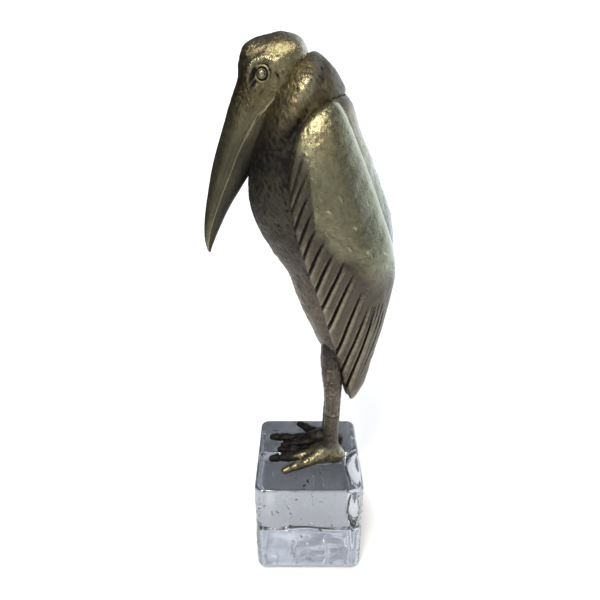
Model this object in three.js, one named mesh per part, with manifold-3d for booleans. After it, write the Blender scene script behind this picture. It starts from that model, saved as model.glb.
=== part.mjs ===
// A cast marabou stork, standing on a clear glass block.
// Millimetres, +Z up. The origin is the centre of the block's underside, and the bird faces -X.
// The bird is a set of hollow and solid castings, soldered and pinned together:
// every soldered seam is left open by SEAM, so that each casting is a solid of its own.
import * as THREE from "three";
import { mergeVertices } from "three/addons/utils/BufferGeometryUtils.js";
import Module from "manifold-3d";

const wasm = await Module();
wasm.setup();

// ---- Driving dimensions -------------------------------------------------------------------

const BLOCK = { width: 60, depth: 63, height: 60, corner: 5, topEdge: 1.6, bottomEdge: 4.5 };
const DISH = { radius: 27, deep: 8.5, y: 1, z: 31 }; // the round hollow in the block's right face
const SEAM = 0.3; // gap at a soldered or glued seam
const WALL = 3.6; // wall of the hollow castings
const FILM = 0.3; // thickness of the glue under each foot
const LEG_OUT = 6.3; // from the bird's middle plane to the middle of a leg
const ANKLE_SEAM = 32; // height above the block at which a foot casting meets its leg
const ANKLE_PIN = { radius: 1.6, length: 16, x: 12.7 };
const NECK_PIN = { radius: 2.5, length: 20, from: [-14, 209], to: [1.4, 196.2] };
const WING_PIN = { radius: 1.5, length: 7.4 };
const WING_PINS = [ // where they stand, and how far out each one's outer end is
  { name: "front", x: -1, z: 163, outer: 26.4 },
  { name: "rear", x: 24, z: 122, outer: 23.8 },
];
const BOND = { x: 8, out: LEG_OUT + 0.6, halfLength: 8, halfWidth: 4.2 }; // clear glue under a foot
const EYE = { x: -20.9, z: 205.9, out: 11.9, radius: 2.1, shank: 1.1, shankLength: 4.5 };

// ---- Profiles ------------------------------------------------------------------------------
// Heights are above the top of the block. A slice is [z, front x, back x, half width].

const BODY = [
  [199.5, 5, 11, 4],
  [196, 0, 16.5, 11],
  [190, -9, 19.5, 17.5],
  [180, -16.5, 24, 22],
  [168, -22.5, 29.5, 24.5],
  [155, -27.5, 35, 25.5],
  [142, -25.6, 39.5, 25.5],
  [128, -19.8, 41.3, 24.5],
  [115, -11.3, 40.2, 22.5],
  [100, -6, 37.8, 19.5],
  [85, 0.6, 34.8, 16],
  [74, 5.6, 31.5, 12.5],
  [60, 14, 29, 9],
  [48, 18.5, 26.5, 6],
  [42, 20.5, 24.5, 3],
];

// The outside of both folded wings together, before the wings are cut from it.
const WINGS = [
  [203, 2, 11, 6],
  [199, -3, 15.5, 13],
  [194, -8, 19, 19],
  [185, -16, 23.5, 24.5],
  [172, -22, 29.5, 27.5],
  [155, -26, 36.5, 28.5],
  [140, -25, 42, 28.5],
  [128, -20, 43.3, 27.5],
  [115, -13, 43.3, 25.5],
  [100, -6, 41.4, 22.5],
  [85, 1, 38.7, 19.5],
  [70, 8, 35.2, 15.5],
  [56, 13, 32.2, 11.5],
  [46, 16, 29, 8],
  [39, 19, 25, 3.5],
];

// A rib is [front x, front z, back x, back z, half width]: an oval that stands on those two points.
const NECK = [
  [-6, 212.5, 2, 215.2, 6],
  [-11, 209.5, 8.5, 209.3, 12],
  [-15.5, 204.5, 14.5, 202, 15.5],
  [-19, 200, 17.3, 196.6, 17],
  [-22, 192, 10, 191, 17.5],
  [-25, 183, 4, 184, 18],
  [-27.5, 172, 0, 174, 18.5],
  [-29, 161.5, -2, 162, 19],
  [-28, 152, -2, 148, 19],
  [-25.5, 143, 0, 138, 17],
];

// Head and closed bill together, before they are parted along the bill's cutting edge.
const HEAD = [
  [-2, 216.5, -1, 213, 4],
  [-4.6, 220.2, -1.5, 208.8, 9.5],
  [-9, 222.1, -4.5, 204.5, 12],
  [-15, 222.5, -7.5, 199, 13],
  [-22, 221.3, -9.5, 193, 13],
  [-28, 218.7, -11.5, 188, 12.3],
  [-31, 214, -13, 184.5, 11.7],
  [-32.2, 207, -15, 181, 11],
  [-33.3, 202, -17.5, 177.5, 10.3],
  [-35.4, 197.2, -21, 173, 9.5],
  [-39.1, 187.1, -26, 167, 8.4],
  [-42.9, 176.6, -30.5, 160.5, 7.4],
  [-46.4, 165.8, -35.5, 153, 6.3],
  [-49.1, 154.6, -40, 145.8, 5.2],
  [-51.4, 143, -44.5, 137, 4],
  [-52.3, 132, -48, 129.5, 2.6],
  [-51.2, 125.5, -50, 124.2, 1],
];

// The cutting edge between the upper and the lower bill in side view, [x, z].
const BILL_EDGE = [
  [0, 188],
  [-12, 188],
  [-21.5, 190.5],
  [-25.5, 185],
  [-30.9, 176.3],
  [-35.6, 166.4],
  [-40.4, 156.1],
  [-44, 147.7],
  [-48, 137.2],
  [-50, 128.4],
  [-50.8, 122],
];

const LEG = [
  [95, 9.5, 20, 4.4],
  [86, 8, 19.8, 4.9],
  [77, 6.6, 19, 5.2],
  [68, 6.8, 18.5, 5],
  [59, 6.5, 18.4, 5.2],
  [50, 7.8, 18, 4.7],
  [40, 8.8, 17.6, 4.4],
  [32, 8.9, 17.4, 4.2],
  [24, 8.5, 17.1, 4.1],
  [17, 8.3, 16.8, 4.1],
  [11, 8.3, 17.4, 4.6],
  [6, 7.5, 19.4, 5],
  [1, 8.5, 18.6, 4.6],
];

// The edge of a folded wing in side view, [x, z]: down the front over the feather tips,
// and down the back beside the mantle. Below the mantle a wing reaches round to the other one.
const WING_FRONT = [
  [8.5, 196],
  [2.5, 192.6],
  [-6.3, 183.4],
  [-10.1, 170.3],
  [-10.1, 157.8],
  [-8.1, 144.2],
  [-3.7, 128.1],
  [2.5, 109.3],
  [8.1, 91.5],
  [13.4, 73],
  [17.3, 59],
  [20.5, 44],
];
const WING_BACK = [
  [11, 195],
  [14.4, 190.4],
  [21.3, 175.4],
  [28.8, 158.1],
  [35.8, 140.6],
  [40, 130],
  [43.4, 118],
  [46, 104],
];

// The seam between the breast casting and the back casting, hidden under the wings.
const SHELL_SEAM = [
  [-6, 225],
  [-3, 195],
  [0, 180],
  [6, 150],
  [12, 120],
  [16, 95],
  [19, 78],
  [23, 60],
  [27, 30],
];

// Toes as [degrees outward from straight ahead, length], for the outer, middle and inner toe.
const FEET = [
  { side: "left", sign: -1, toes: [[24.4, 30.3], [3, 35.5], [-11.8, 31.5]] },
  { side: "right", sign: 1, toes: [[46, 27], [8.6, 36.5], [-5, 29]] },
];

// ---- Solids --------------------------------------------------------------------------------

/** The signed volume of an indexed geometry: negative if its faces point inwards. */
function signedVolume(geometry) {
  const p = geometry.getAttribute("position");
  const index = geometry.index;
  const [a, b, c] = [new THREE.Vector3(), new THREE.Vector3(), new THREE.Vector3()];
  let sum = 0;
  for (let i = 0; i < index.count; i += 3) {
    a.fromBufferAttribute(p, index.getX(i));
    b.fromBufferAttribute(p, index.getX(i + 1));
    c.fromBufferAttribute(p, index.getX(i + 2));
    sum += a.dot(b.cross(c)) / 6;
  }
  return sum;
}

/** A closed three.js geometry as a manifold-3d solid. */
function solid(geometry) {
  const bare = geometry.clone();
  bare.deleteAttribute("normal");
  bare.deleteAttribute("uv");
  const merged = mergeVertices(bare, 1e-4);
  const triVerts = new Uint32Array(merged.index.array);
  if (signedVolume(merged) < 0) triVerts.reverse();
  const vertProperties = merged.getAttribute("position").array;
  return new wasm.Manifold(new wasm.Mesh({ numProp: 3, vertProperties, triVerts }));
}

/** A manifold-3d solid as a three.js geometry with flat faces. */
function geometryOf(made) {
  const mesh = made.getMesh();
  const geometry = new THREE.BufferGeometry();
  geometry.setAttribute("position", new THREE.BufferAttribute(mesh.vertProperties, 3));
  geometry.setIndex(new THREE.BufferAttribute(mesh.triVerts, 1));
  const flat = geometry.toNonIndexed();
  flat.computeVertexNormals();
  return flat;
}

/** The largest of a solid's separate pieces, without the slivers that a cut can leave. */
function mainPiece(made) {
  return made.decompose().reduce((a, b) => (a.volume() > b.volume() ? a : b));
}

/** A closed solid through rings of points, each ring with the same number of points. */
function skin(rings) {
  const sides = rings[0].length;
  const points = rings.flat();
  const middle = (ring) => ring.reduce((sum, p) => sum.add(p), new THREE.Vector3()).divideScalar(sides);
  points.push(middle(rings[0]), middle(rings.at(-1)));
  const faces = [];
  for (let k = 0; k < sides; k++) {
    const next = (k + 1) % sides;
    const last = (rings.length - 1) * sides;
    for (let r = 0; r < last; r += sides) {
      faces.push(r + k, r + next, r + sides + k, r + next, r + sides + next, r + sides + k);
    }
    faces.push(points.length - 2, next, k, points.length - 1, last + k, last + next);
  }
  return solid(new THREE.BufferGeometry().setFromPoints(points).setIndex(faces));
}

/** A smooth open curve through points. */
const curveThrough = (points) =>
  new THREE.CatmullRomCurve3(points.map((p) => new THREE.Vector3(...p)), false, "catmullrom");

/** A smooth solid through ribs. `grow` moves its whole surface outwards. */
function ribbed(ribs, { steps, sides, grow = 0, y = 0 }) {
  const front = curveThrough(ribs.map(([x, z]) => [x, 0, z]));
  const back = curveThrough(ribs.map(([, , x, z, half]) => [x, half, z]));
  const rings = [];
  for (let i = 0; i <= steps; i++) {
    const f = front.getPoint(i / steps);
    const b = back.getPoint(i / steps);
    const half = Math.max(b.y, 0.3) + grow;
    b.y = 0;
    const centre = f.clone().add(b).multiplyScalar(0.5);
    const reach = b.clone().sub(f).multiplyScalar(0.5);
    reach.setLength(reach.length() + grow);
    if (grow && (i === 0 || i === steps)) {
      const inner = i === 0 ? 1 / steps : 1 - 1 / steps;
      const neighbour = front.getPoint(inner).add(back.getPoint(inner).setY(0)).multiplyScalar(0.5);
      centre.add(centre.clone().sub(neighbour).setLength(grow));
    }
    rings.push(
      Array.from({ length: sides }, (_, k) => {
        const angle = (2 * Math.PI * k) / sides;
        const p = centre.clone().addScaledVector(reach, Math.cos(angle));
        p.y = y + half * Math.sin(angle);
        return p;
      }),
    );
  }
  return skin(rings);
}

/** Slices are ribs that lie level. */
const sliced = (slices, options) => ribbed(slices.map(([z, f, b, half]) => [f, z, b, z, half]), options);

/** A round limb along knots of [x, y, z, half width, half height]. */
function limb(knots, { steps, sides, grow = 0 }) {
  const path = curveThrough(knots.map(([x, y, z]) => [x, y, z]));
  const size = curveThrough(knots.map(([, , , w, h]) => [w, h, 0]));
  const up = new THREE.Vector3(0, 0, 1);
  const rings = [];
  for (let i = 0; i <= steps; i++) {
    const t = i / steps;
    const along = path.getTangent(t);
    const across = new THREE.Vector3().crossVectors(up, along).normalize();
    const above = new THREE.Vector3().crossVectors(along, across);
    const { x: w, y: h } = size.getPoint(t);
    rings.push(
      Array.from({ length: sides }, (_, k) => {
        const angle = (2 * Math.PI * k) / sides;
        return path
          .getPoint(t)
          .addScaledVector(across, (w + grow) * Math.cos(angle))
          .addScaledVector(above, (h + grow) * Math.sin(angle));
      }),
    );
  }
  return skin(rings);
}

/** A prism across the bird: an outline of [x, z] points in side view, from y = low to y = high. */
function prism(outline, low, high) {
  const shape = new THREE.Shape(outline.map(([x, z]) => new THREE.Vector2(x, z)));
  const geometry = new THREE.ExtrudeGeometry(shape, { depth: high - low, bevelEnabled: false });
  geometry.rotateX(Math.PI / 2).translate(0, high, 0);
  return solid(geometry);
}

/** A round pin between two points. */
function pin(from, to, radius) {
  const [a, b] = [new THREE.Vector3(...from), new THREE.Vector3(...to)];
  const geometry = new THREE.CylinderGeometry(radius, radius, a.distanceTo(b), 16);
  const turn = new THREE.Quaternion().setFromUnitVectors(
    new THREE.Vector3(0, 1, 0),
    b.clone().sub(a).normalize(),
  );
  geometry.applyQuaternion(turn);
  const middle = a.add(b).multiplyScalar(0.5);
  geometry.translate(middle.x, middle.y, middle.z);
  return solid(geometry);
}

/** Points along a smooth curve through [x, z] points. */
function smooth(points, count) {
  const curve = new THREE.SplineCurve(points.map(([x, z]) => new THREE.Vector2(x, z)));
  return curve.getPoints(count).map((p) => [p.x, p.y]);
}

// ---- The glass block -----------------------------------------------------------------------

/** One level of the block: a rectangle with round corners, drawn in from the sides by `inset`. */
function blockLevel(z, inset) {
  const cornerSteps = 6;
  const [x, y] = [BLOCK.width / 2 - BLOCK.corner, BLOCK.depth / 2 - BLOCK.corner];
  const radius = BLOCK.corner - inset;
  const ring = [];
  for (const [sx, sy, start] of [[1, 1, 0], [-1, 1, 90], [-1, -1, 180], [1, -1, 270]]) {
    for (let k = 0; k <= cornerSteps; k++) {
      const angle = THREE.MathUtils.degToRad(start + (90 * k) / cornerSteps);
      ring.push(new THREE.Vector3(sx * x + radius * Math.cos(angle), sy * y + radius * Math.sin(angle), z));
    }
  }
  return ring;
}

/** The block: soft edges below, crisper ones above, and a shallow round dish ground into its right face. */
function glassBlock() {
  const edgeSteps = 4;
  const rounded = (edge) => (k) => {
    const angle = (Math.PI / 2) * (k / edgeSteps);
    return { rise: edge * Math.sin(angle), inset: edge * (1 - Math.cos(angle)) };
  };
  const steps = [...Array(edgeSteps + 1).keys()];
  const lower = steps.toReversed().map(rounded(BLOCK.bottomEdge));
  const upper = steps.map(rounded(BLOCK.topEdge));
  const levels = [
    ...lower.map(({ rise, inset }) => blockLevel(BLOCK.bottomEdge - rise, inset)),
    ...upper.map(({ rise, inset }) => blockLevel(BLOCK.height - BLOCK.topEdge + rise, inset)),
  ];
  const grinder = new THREE.SphereGeometry(DISH.radius, 44, 28);
  grinder.translate(BLOCK.width / 2 + DISH.radius - DISH.deep, DISH.y, DISH.z);
  return skin(levels).subtract(solid(grinder));
}

// ---- The bird's castings -------------------------------------------------------------------

const bodyDetail = { steps: 26, sides: 26 };
const neckDetail = { steps: 16, sides: 24 };
const headDetail = { steps: 30, sides: 20 };
const legDetail = { steps: 20, sides: 14 };

const neckPin = pin(
  [NECK_PIN.from[0], 0, NECK_PIN.from[1]],
  [NECK_PIN.to[0], 0, NECK_PIN.to[1]],
  NECK_PIN.radius,
);
const neckPinHole = pin(
  [NECK_PIN.from[0] - SEAM, 0, NECK_PIN.from[1] + SEAM],
  [NECK_PIN.to[0] + SEAM, 0, NECK_PIN.to[1] - SEAM],
  NECK_PIN.radius + SEAM,
);

/** An eye: a domed rivet whose shank sits in the head. */
function eye(sign, grow = 0) {
  const bead = new THREE.SphereGeometry(EYE.radius + grow, 14, 10);
  bead.translate(EYE.x, sign * EYE.out, EYE.z);
  const shank = pin(
    [EYE.x, sign * (EYE.out - EYE.shankLength - grow), EYE.z],
    [EYE.x, sign * EYE.out, EYE.z],
    EYE.shank + grow,
  );
  return solid(bead).add(shank);
}

const headForm = ribbed(HEAD, headDetail);
const headClearance = ribbed(HEAD, { ...headDetail, grow: SEAM });

/** Everything behind and below the bill's cutting edge, moved back and down by `shift`. */
function belowBillEdge(shift) {
  return prism([...BILL_EDGE.map(([x, z]) => [x + shift, z - shift]), [shift, 122]], -30, 30);
}

/** Head and upper bill, one casting. */
function head() {
  let made = headForm;
  for (const cutter of [belowBillEdge(0), neckPinHole, eye(-1, SEAM), eye(1, SEAM)]) {
    made = made.subtract(cutter);
  }
  return mainPiece(made);
}

/** The lower bill, which lies closed against the upper one. */
function lowerBill() {
  return mainPiece(headForm.intersect(belowBillEdge(SEAM)).subtract(neckPinHole));
}

const neckForm = ribbed(NECK, neckDetail);
const neckClearance = ribbed(NECK, { ...neckDetail, grow: SEAM });
const bodyForm = sliced(BODY, bodyDetail);
const bodyClearance = sliced(BODY, { ...bodyDetail, grow: SEAM });
const bodyCavity = sliced(BODY.slice(1, -2), { steps: 12, sides: 16, grow: -WALL });

/** Everything in front of the shell seam, moved back by `shift`. */
function aheadOfSeam(shift) {
  const seam = SHELL_SEAM.map(([x, z]) => [x + shift, z]);
  return prism([...seam, [-80, 30], [-80, 225]], -50, 50);
}

/** The leg at one side, from inside the belly to the glass, with `grow` added all round. */
const legForm = (sign, grow = 0) => sliced(LEG, { ...legDetail, y: sign * LEG_OUT, grow });

/** The pin that holds a foot casting to its leg. */
function anklePin(sign, grow = 0) {
  const [x, y] = [ANKLE_PIN.x, sign * LEG_OUT];
  const reach = ANKLE_PIN.length / 2 + grow;
  return pin([x, y, ANKLE_SEAM - reach], [x, y, ANKLE_SEAM + reach], ANKLE_PIN.radius + grow);
}

/** A box that holds everything between two heights. */
function band(low, high) {
  return prism([[-90, low], [90, low], [90, high], [-90, high]], -60, 60);
}

/** One leg, from the belly down to the ankle seam. */
function leg(sign) {
  return legForm(sign).intersect(band(ANKLE_SEAM, 120)).subtract(anklePin(sign, SEAM));
}

/** One foot: the lower shank, three front toes and a small hind toe, flat below. */
function foot({ sign, toes }) {
  const root = [12.5, sign * LEG_OUT];
  const toeAt = (degrees, distance) => {
    const angle = THREE.MathUtils.degToRad(degrees);
    return [root[0] - distance * Math.cos(angle), root[1] + sign * distance * Math.sin(angle)];
  };
  let made = legForm(sign).intersect(band(-5, ANKLE_SEAM - SEAM));
  for (const [degrees, length] of toes) {
    const knots = [
      [...toeAt(degrees, -1), 5.5, 3.6, 4.4],
      [...toeAt(degrees, length * 0.25), 3.9, 2.9, 3.5],
      [...toeAt(degrees, length * 0.5), 2.9, 2.5, 2.8],
      [...toeAt(degrees, length * 0.72), 2.5, 2.4, 2.6],
      [...toeAt(degrees, length * 0.87), 2.1, 2.3, 2.3],
      [...toeAt(degrees, length * 0.96), 1.7, 1.9, 1.7],
      [...toeAt(degrees, length), 1.3, 0.8, 0.7],
    ];
    made = made.add(limb(knots, { steps: 12, sides: 12 }));
  }
  const hind = [
    [root[0] + 1, root[1], 4.5, 3.6, 4],
    [root[0] + 5, root[1] + sign * 0.4, 3.4, 3, 3.3],
    [root[0] + 7.8, root[1] + sign * 0.8, 2.6, 2, 2.3],
    [root[0] + 9, root[1] + sign * 1, 2.2, 0.7, 0.8],
  ];
  made = made.add(limb(hind, { steps: 6, sides: 12 }));
  return mainPiece(made.intersect(band(FILM, 60)).subtract(anklePin(sign, SEAM)));
}

/** The clear glue under one foot: a thin pad beneath the ball of the foot. */
function bond(sign) {
  const pad = new THREE.CylinderGeometry(BOND.halfWidth, BOND.halfWidth, FILM, 24);
  pad.rotateX(Math.PI / 2).scale(BOND.halfLength / BOND.halfWidth, 1, 1);
  pad.translate(BOND.x, sign * BOND.out, FILM / 2);
  return solid(pad);
}

/** The outline of a folded wing in side view. */
function wingOutline() {
  const past = 60; // beyond the back of the wings
  const below = 20; // under their tips
  const [, hip] = WING_BACK.at(-1);
  const behind = [[24, below], [past, below], [past, hip]];
  return [...smooth(WING_FRONT, 33), ...behind, ...smooth(WING_BACK, 18).reverse()];
}

function wingPin(sign, { x, z, outer }, grow = 0) {
  const from = [x, sign * (outer + grow), z];
  const to = [x, sign * (outer - WING_PIN.length - grow), z];
  return pin(from, to, WING_PIN.radius + grow);
}

const bothWingPins = (sign) =>
  WING_PINS.map((place) => wingPin(sign, place, SEAM)).reduce((a, b) => a.add(b));

const wingForm = sliced(WINGS, bodyDetail);

/** One folded wing: the outside form, cut to the wing's outline and hollowed by the body under it. */
function wing(sign) {
  const middleGap = 0.4;
  const past = 45; // beyond the outside of either wing
  const half = sign < 0 ? prism(wingOutline(), -past, -middleGap) : prism(wingOutline(), middleGap, past);
  let made = wingForm.intersect(half);
  for (const cutter of [bodyClearance, neckClearance, legForm(sign, SEAM), bothWingPins(sign)]) {
    made = made.subtract(cutter);
  }
  return mainPiece(made);
}

/** Neck, breast and belly, one hollow casting. */
function breastShell() {
  let made = neckForm.add(bodyForm.intersect(aheadOfSeam(0)));
  const cutters = [bodyCavity, headClearance, neckPinHole];
  for (const sign of [-1, 1]) cutters.push(legForm(sign, SEAM), bothWingPins(sign));
  for (const cutter of cutters) made = made.subtract(cutter);
  return mainPiece(made);
}

/** Mantle, back and tail, the other hollow casting. */
function backShell() {
  let made = bodyForm.subtract(aheadOfSeam(SEAM)).subtract(neckClearance).subtract(bodyCavity);
  for (const sign of [-1, 1]) made = made.subtract(legForm(sign, SEAM)).subtract(bothWingPins(sign));
  return mainPiece(made);
}

// ---- Materials and assembly ----------------------------------------------------------------

const metal = (color, roughness) => new THREE.MeshStandardMaterial({ color, roughness, metalness: 1 });
const materials = {
  casting: metal(0x8f8668, 0.36),
  polished: metal(0xa39a7a, 0.24),
  steel: metal(0xa8a8a8, 0.4),
  glass: new THREE.MeshStandardMaterial({
    color: 0xdfe6ea, roughness: 0.03, metalness: 0, transparent: true, opacity: 0.35,
  }),
  glue: new THREE.MeshStandardMaterial({
    color: 0xe8e8e0, roughness: 0.2, metalness: 0, transparent: true, opacity: 0.5,
  }),
};

function node(name, made, material) {
  const mesh = new THREE.Mesh(geometryOf(made), materials[material]);
  mesh.name = name;
  return mesh;
}

const statuette = new THREE.Group();
statuette.add(node("glass_block", glassBlock(), "glass"));

const bird = new THREE.Group();
bird.position.z = BLOCK.height;
bird.add(
  node("head", head(), "casting"),
  node("lower_bill", lowerBill(), "polished"),
  node("breast_shell", breastShell(), "casting"),
  node("back_shell", backShell(), "casting"),
  node("neck_pin", neckPin, "steel"),
);
for (const { side, sign, toes } of FEET) {
  bird.add(
    node(`${side}_eye`, eye(sign), "polished"),
    node(`${side}_wing`, wing(sign), "casting"),
    node(`${side}_leg`, leg(sign), "casting"),
    node(`${side}_foot`, foot({ sign, toes }), "casting"),
    node(`${side}_ankle_pin`, anklePin(sign), "steel"),
    node(`${side}_foot_bond`, bond(sign), "glue"),
  );
  for (const place of WING_PINS) {
    bird.add(node(`${side}_wing_${place.name}_pin`, wingPin(sign, place), "steel"));
  }
}
statuette.add(bird);

export default statuette;
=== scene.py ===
"""A cast marabou stork on a clear glass block: its surfaces and finishes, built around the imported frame.

The bird's castings are modelled as a sculptor works them. Each is a smooth lofted form, turned into a
field of signed distances, joined and parted with its neighbours, chased with grooves, and meshed again.
Lengths inside the classes are millimetres, with heights above the top of the glass block.
"""

import logging
import math
from dataclasses import dataclass, field
from enum import Enum
from typing import Callable

import bmesh
import bpy
import numpy as np
import openvdb as vdb
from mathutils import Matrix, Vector

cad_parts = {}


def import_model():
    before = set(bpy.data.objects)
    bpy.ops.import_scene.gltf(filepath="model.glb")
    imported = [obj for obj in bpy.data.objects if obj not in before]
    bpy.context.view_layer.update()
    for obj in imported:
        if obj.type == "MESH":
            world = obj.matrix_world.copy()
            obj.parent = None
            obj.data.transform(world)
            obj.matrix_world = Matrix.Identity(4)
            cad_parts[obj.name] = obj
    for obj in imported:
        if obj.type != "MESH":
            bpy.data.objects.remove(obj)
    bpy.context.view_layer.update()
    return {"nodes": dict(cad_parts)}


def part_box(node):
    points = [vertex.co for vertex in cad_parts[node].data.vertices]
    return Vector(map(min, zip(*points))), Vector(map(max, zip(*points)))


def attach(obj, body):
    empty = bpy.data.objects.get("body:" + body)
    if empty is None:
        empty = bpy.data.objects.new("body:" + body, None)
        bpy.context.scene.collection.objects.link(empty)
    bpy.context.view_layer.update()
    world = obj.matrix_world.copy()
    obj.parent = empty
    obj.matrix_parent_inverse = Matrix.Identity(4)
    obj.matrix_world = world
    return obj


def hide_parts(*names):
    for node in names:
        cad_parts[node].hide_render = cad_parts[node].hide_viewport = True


log = logging.getLogger("stork")

Array = np.ndarray
Point = tuple[float, ...]
Table = tuple[Point, ...]

MM = 0.001
ROOT = "root"


class Side(Enum):
    """A side of the bird: the sign of its Y coordinates."""

    LEFT = -1
    RIGHT = 1

    @property
    def label(self) -> str:
        """The side's name, as the nodes spell it."""
        return self.name.lower()


class Slot(Enum):
    """The material slots that the pieces are logged with."""

    ANTIQUE = "antique_brass"
    BRIGHT = "bright_brass"
    GLASS = "clear_glass"
    STEEL = "steel_pin"


# ---- Curves and lofts ------------------------------------------------------------------------------


def spline(knots: Array, count: int) -> Array:
    """Points along a natural cubic spline.

    Args:
        knots: The points it passes through, one per row.
        count: How many points to return.

    Returns:
        The points, evenly spaced in knot number, one per row.
    """
    knots = np.asarray(knots, float)
    last = len(knots) - 1
    system = np.eye(last + 1)
    right = np.zeros_like(knots)
    for i in range(1, last):
        system[i, i - 1 : i + 2] = (1, 4, 1)
        right[i] = 6 * (knots[i + 1] - 2 * knots[i] + knots[i - 1])
    bend = np.linalg.solve(system, right)
    t = np.linspace(0, last, count)
    i = np.minimum(t.astype(int), last - 1)
    b = (t - i)[:, None]
    a = 1 - b
    return a * knots[i] + b * knots[i + 1] + ((a**3 - a) * bend[i] + (b**3 - b) * bend[i + 1]) / 6


@dataclass
class Shell:
    """A closed surface through rings of points.

    Attributes:
        rings: The points, as ring by point by coordinate.
    """

    rings: Array

    def __post_init__(self) -> None:
        """Works out the points and faces of the surface and its two end caps."""
        ring_count, sides, _ = self.rings.shape
        ends = self.rings[[0, -1]].mean(axis=1)
        self.points = np.concatenate([self.rings.reshape(-1, 3), ends]).astype(np.float32)
        here = np.arange(sides)
        after = (here + 1) % sides
        quads = [np.stack([r + here, r + after, r + sides + after, r + sides + here], 1)
                 for r in range(0, (ring_count - 1) * sides, sides)]
        self.quads = np.concatenate(quads).astype(np.uint32)
        foot, top = ring_count * sides, ring_count * sides + 1
        last = (ring_count - 1) * sides
        caps = [np.stack([np.full(sides, foot), after, here], 1),
                np.stack([np.full(sides, top), last + here, last + after], 1)]
        self.triangles = np.concatenate(caps).astype(np.uint32)


def ribbed(ribs: Table, steps: int = 150, sides: int = 120, y: float = 0.0) -> Shell:
    """A smooth form through ovals that each stand on two points of the middle plane.

    Args:
        ribs: Rows of front x, front z, back x, back z and half width.
        steps: Rings along the form.
        sides: Points round each ring.
        y: Where the form's middle plane lies.

    Returns:
        The form's surface.
    """
    rows = spline(np.array(ribs), steps)
    front, back, half = rows[:, 0:2], rows[:, 2:4], np.maximum(rows[:, 4], 0.3)
    centre, reach = (front + back) / 2, (back - front) / 2
    angle = np.linspace(0, 2 * np.pi, sides, endpoint=False)
    ring = np.empty((steps, sides, 3))
    ring[:, :, [0, 2]] = centre[:, None] + reach[:, None] * np.cos(angle)[None, :, None]
    ring[:, :, 1] = y + half[:, None] * np.sin(angle)
    return Shell(ring)


def sliced(slices: Table, y: float = 0.0, steps: int = 150) -> Shell:
    """A smooth form through level ovals.

    Args:
        slices: Rows of height, front x, back x and half width.
        y: Where the form's middle plane lies.
        steps: Rings along the form.

    Returns:
        The form's surface.
    """
    return ribbed(tuple((front, z, back, z, half) for z, front, back, half in slices), steps, y=y)


def limb(knots: Table, steps: int = 60, sides: int = 40) -> Shell:
    """A round limb along a curve.

    Args:
        knots: Rows of x, y, z, half width and half height.
        steps: Rings along the limb.
        sides: Points round each ring.

    Returns:
        The limb's surface.
    """
    rows = spline(np.array(knots), steps)
    along = np.gradient(rows[:, :3], axis=0)
    along /= np.linalg.norm(along, axis=1, keepdims=True)
    across = np.cross([0.0, 0.0, 1.0], along)
    across /= np.linalg.norm(across, axis=1, keepdims=True)
    above = np.cross(along, across)
    angle = np.linspace(0, 2 * np.pi, sides, endpoint=False)
    wide = np.maximum(rows[:, 3], 0.2)[:, None, None] * np.cos(angle)[None, :, None]
    tall = np.maximum(rows[:, 4], 0.2)[:, None, None] * np.sin(angle)[None, :, None]
    return Shell(rows[:, None, :3] + across[:, None] * wide + above[:, None] * tall)


# ---- Marks drawn on a sheet ------------------------------------------------------------------------


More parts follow.
